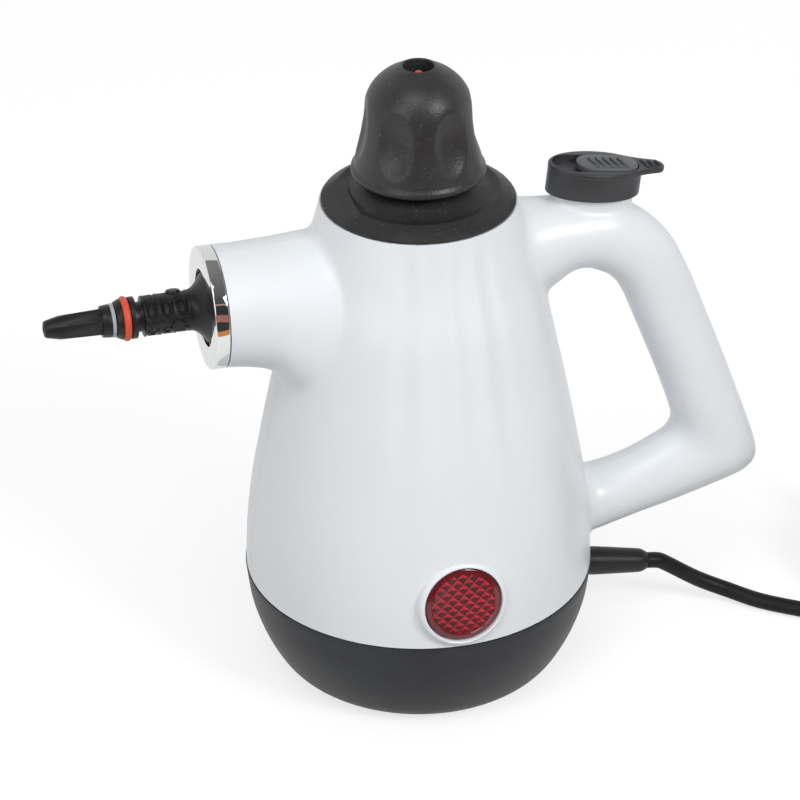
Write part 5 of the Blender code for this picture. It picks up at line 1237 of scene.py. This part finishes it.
def ringDot(x, y, lift):
    s = sliderSetup
    dot = newPiece(
        bpy.ops.mesh.primitive_circle_add, "dot", vertices=10, radius=s["dotWire"],
        location=(s["dotRadius"], 0, 0), rotation=(math.pi / 2, 0, 0))
    bake(dot)
    editAll(dot)
    settle(spun(dot, 24), (x, y, lift))
    return onTop(dot)


def makeButton():
    s, t = triggerSetup, tailSetup
    web = s["pocketDepth"] + s["web"] / 2
    button = prism(
        "triggerButton", buttonOval(s["skin"], 96), buttonSkirt, belowTop(s["tailThickness"] / 2),
        s["edge"])
    combine(button, prism(
        "tail", tailOutline(), belowTop(s["tailThickness"]), buttonTop, s["tailEdge"], 3), "UNION")
    combine(button, prism(
        "pocket", stadium(s["pocketHalfLength"], s["pocketHalfWidth"], 24, s["reach"]),
        belowTop(s["pocketDepth"]), belowTop(-s["clear"]), s["edge"]), "DIFFERENCE")
    combine(button, prism(
        "hollow", buttonOval(s["wall"], 64), lambda x: buttonSkirt(x) - s["clear"],
        belowTop(s["pocketDepth"] + s["web"])), "DIFFERENCE")
    leanBack(button)
    combine(button, prism(
        "pad", oval(s["pad"], s["pad"], 40, s["reach"]), lambda x: s["padFoot"],
        belowTop(web)), "UNION")
    combine(button, rod(
        "stem", (s["reach"], 0, s["stemFoot"]), (s["reach"], 0, s["top"] - web), s["stem"],
        edge=s["edge"]), "UNION")
    smoothShade(button, shading["buttonDegrees"])
    extras = []
    for number in range(t["ribs"]):
        x = s["reach"] + t["start"] + t["pitch"] * number
        length = t["ribHalfLength"] - t["ribShorter"] * number
        extras.append(ribBar(x - t["ribBack"], length, t["lift"]))
        if number < t["dots"]:
            extras.append(ringDot(x, t["dotAcross"], t["lift"]))
    wear(joined(button, *extras), "trigger", "trigger_button", finish="buttonGrey", degrees=None)


def makeSlider():
    s = sliderSetup
    middle = triggerSetup["reach"] + s["middle"]
    slider = prism(
        "lockSlider", stadium(s["halfLength"], s["halfWidth"], 28, middle),
        belowTop(triggerSetup["pocketDepth"] - s["gap"]), belowTop(-s["proud"]), s["edge"], 3)
    smoothShade(slider, shading["buttonDegrees"])
    extras = []
    for number in range(s["ribs"]):
        x = middle + s["ribStart"] + s["ribPitch"] * number
        extras.append(ribBar(x, s["ribHalfLength"], s["ribLift"]))
        extras.append(ringDot(x + s["dotAside"], s["dotAcross"], s["dotLift"]))
    wear(joined(slider, *extras), "lock", "lock_slider", finish="sliderGrey", degrees=None)


makeButton()
makeSlider()
print("button and slider made")

# springs under the cap's grip and under the button, each coiled to the height of its part
springSetup = {        # node, body, joint, middle of the coil, coil radius, wire radius, turns
    "capSpring": ("cap_spring", "cap_plug", "cap_press", 0.0, 0.0100, 0.0006, 5),
    "triggerSpring": (
        "trigger_spring", "body", "trigger_press", triggerSetup["reach"], 0.0038, 0.0004, 4)}


def makeSpring(name, node, body, joint, middle, radius, wire, turns):
    low, high = (corner[2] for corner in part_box(node))
    spring = newPiece(
        bpy.ops.mesh.primitive_circle_add, name, vertices=12, radius=wire,
        location=(radius, 0, low + wire), rotation=(math.pi / 2, 0, 0))
    bake(spring)
    applyModifier(
        spring, "SCREW", axis="Z", steps=40, render_steps=40, iterations=turns,
        screw_offset=(high - low - 2 * wire) / turns, use_merge_vertices=False)
    editAll(spring)
    bpy.ops.mesh.fill_holes(sides=12)
    tidyShell()
    settle(spring, (middle, 0, 0))
    wear(spring, body, node)
    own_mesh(spring)


for springName, springValues in springSetup.items():
    makeSpring(springName, *springValues)
print("springs made")

# pale floor, white surround and three soft lamps; polished pieces also see a dim room in front
studio = {
    "worldStrength": 0.50, "floorSize": 6.0, "floorColour": 0.38, "floorGlow": 0.70,
    "surround": 0.8, "sweepFront": -0.31, "sweepEnd": -0.50,
    "tableNear": (0.60, 0.25, 0.08), "tableFar": (0.05, 0.042, 0.04),
    "roomMiddle": (0.0, -0.676, 0.737), "roomEdge": 0.227, "roomUp": (0.0, 0.737, 0.676),
    "room": (        # what polished pieces see in front and overhead, from low to high
        (0.125, (0.04, 0.035, 0.035)), (0.135, (0.47, 0.22, 0.17)), (0.21, (0.44, 0.21, 0.16)),
        (0.22, (0.04, 0.04, 0.045)), (0.345, (0.06, 0.06, 0.065)), (0.36, (0.9, 0.62, 0.5)),
        (0.375, (0.08, 0.08, 0.085)), (0.55, (0.16, 0.16, 0.155)), (0.95, (0.29, 0.29, 0.275))),
    "lamps": (        # place, size, watts
        ("keyLamp", (0.90, -1.45, 1.30), 0.6, 17.0),
        ("fillLamp", (-1.3, -1.0, 0.8), 1.0, 7.0),
        ("topLamp", (-0.45, -0.75, 1.5), 0.7, 5.5))}


def mathNode(tree, operation, *values):
    return addNode(tree, "Math", dict(enumerate(values)), operation=operation).outputs[0]


def seenRays(tree):
    # one for camera, glossy and transmission rays, nothing for the rest; and the glossy ones alone
    path = addNode(tree, "LightPath", {}).outputs
    seen = mathNode(tree, "MAXIMUM", path["Is Camera Ray"], path["Is Glossy Ray"])
    return mathNode(tree, "MAXIMUM", seen, path["Is Transmission Ray"]), path["Is Glossy Ray"]


def lessGlossy(tree, level, glossy):
    # glossy rays see the surround a little dimmer
    return mathNode(
        tree, "SUBTRACT", level, mathNode(tree, "MULTIPLY", glossy, 1 - studio["surround"]))


def makeFloor():
    floor = newPiece(
        bpy.ops.mesh.primitive_plane_add, "studioFloor", size=studio["floorSize"],
        location=(0, 0, 0))
    paint = bpy.data.materials.new("floorPaint")
    paint.use_nodes = True
    tree = paint.node_tree
    tree.nodes.clear()
    matt = addNode(tree, "BsdfDiffuse", {"Color": (studio["floorColour"],) * 3 + (1,)})
    seen, glossy = seenRays(tree)
    strength = mathNode(tree, "MULTIPLY", lessGlossy(tree, seen, glossy), studio["floorGlow"])
    glow = addNode(tree, "Emission", {"Strength": strength})
    both = addNode(tree, "AddShader", {0: matt.outputs[0], 1: glow.outputs[0]})
    # polished pieces see the pale sweep end a little in front of the object
    place = addNode(tree, "TexCoord", {}).outputs["Object"]
    depth = addNode(tree, "SeparateXYZ", {0: place}).outputs["Y"]
    beyond, far = (
        mathNode(tree, "LESS_THAN", depth, studio[key]) for key in ("sweepFront", "sweepEnd"))
    table = rampFrom(tree, far, (0.0, studio["tableNear"]), (1.0, studio["tableFar"]))
    room = addNode(tree, "Emission", {"Color": table})
    either = addNode(tree, "MixShader", {
        0: mathNode(tree, "MULTIPLY", beyond, glossy), 1: both.outputs[0], 2: room.outputs[0]})
    addNode(tree, "OutputMaterial", {"Surface": either.outputs[0]})
    floor.data.materials.append(paint)


def alongDirection(tree, direction, axis):
    inputs = {0: direction, 1: axis}
    return addNode(tree, "VectorMath", inputs, operation="DOT_PRODUCT").outputs["Value"]


def makeWorld():
    world = bpy.data.worlds.new("studio")
    bpy.context.scene.world = world
    world.use_nodes = True
    tree = world.node_tree
    light = tree.nodes["Background"]
    seen, glossy = seenRays(tree)
    level = addNode(tree, "Mix", {0: seen, 2: studio["worldStrength"], 3: 1.0})
    tree.links.new(lessGlossy(tree, level.outputs[0], glossy), light.inputs["Strength"])
    direction = addNode(tree, "TexCoord", {}).outputs["Generated"]
    middle = alongDirection(tree, direction, studio["roomMiddle"])
    inRoom = mathNode(tree, "GREATER_THAN", middle, studio["roomEdge"])
    height = alongDirection(tree, direction, studio["roomUp"])
    room = rampFrom(tree, mathNode(tree, "MULTIPLY_ADD", height, 0.5, 0.5), *studio["room"])
    share = mathNode(tree, "MULTIPLY", inRoom, glossy)
    tree.links.new(mixed(tree, share, (1, 1, 1, 1), room), light.inputs["Color"])


def makeLamps():
    for name, place, size, watts in studio["lamps"]:
        lamp = newPiece(bpy.ops.object.light_add, name, type="AREA", location=place)
        lamp.data.size = size
        lamp.data.energy = watts
        aim = Vector(cameraSetup["target"]) - Vector(place)
        lamp.rotation_mode = "QUATERNION"
        lamp.rotation_quaternion = aim.to_track_quat("-Z", "Y")


makeFloor()
makeWorld()
makeLamps()
print("studio lit")
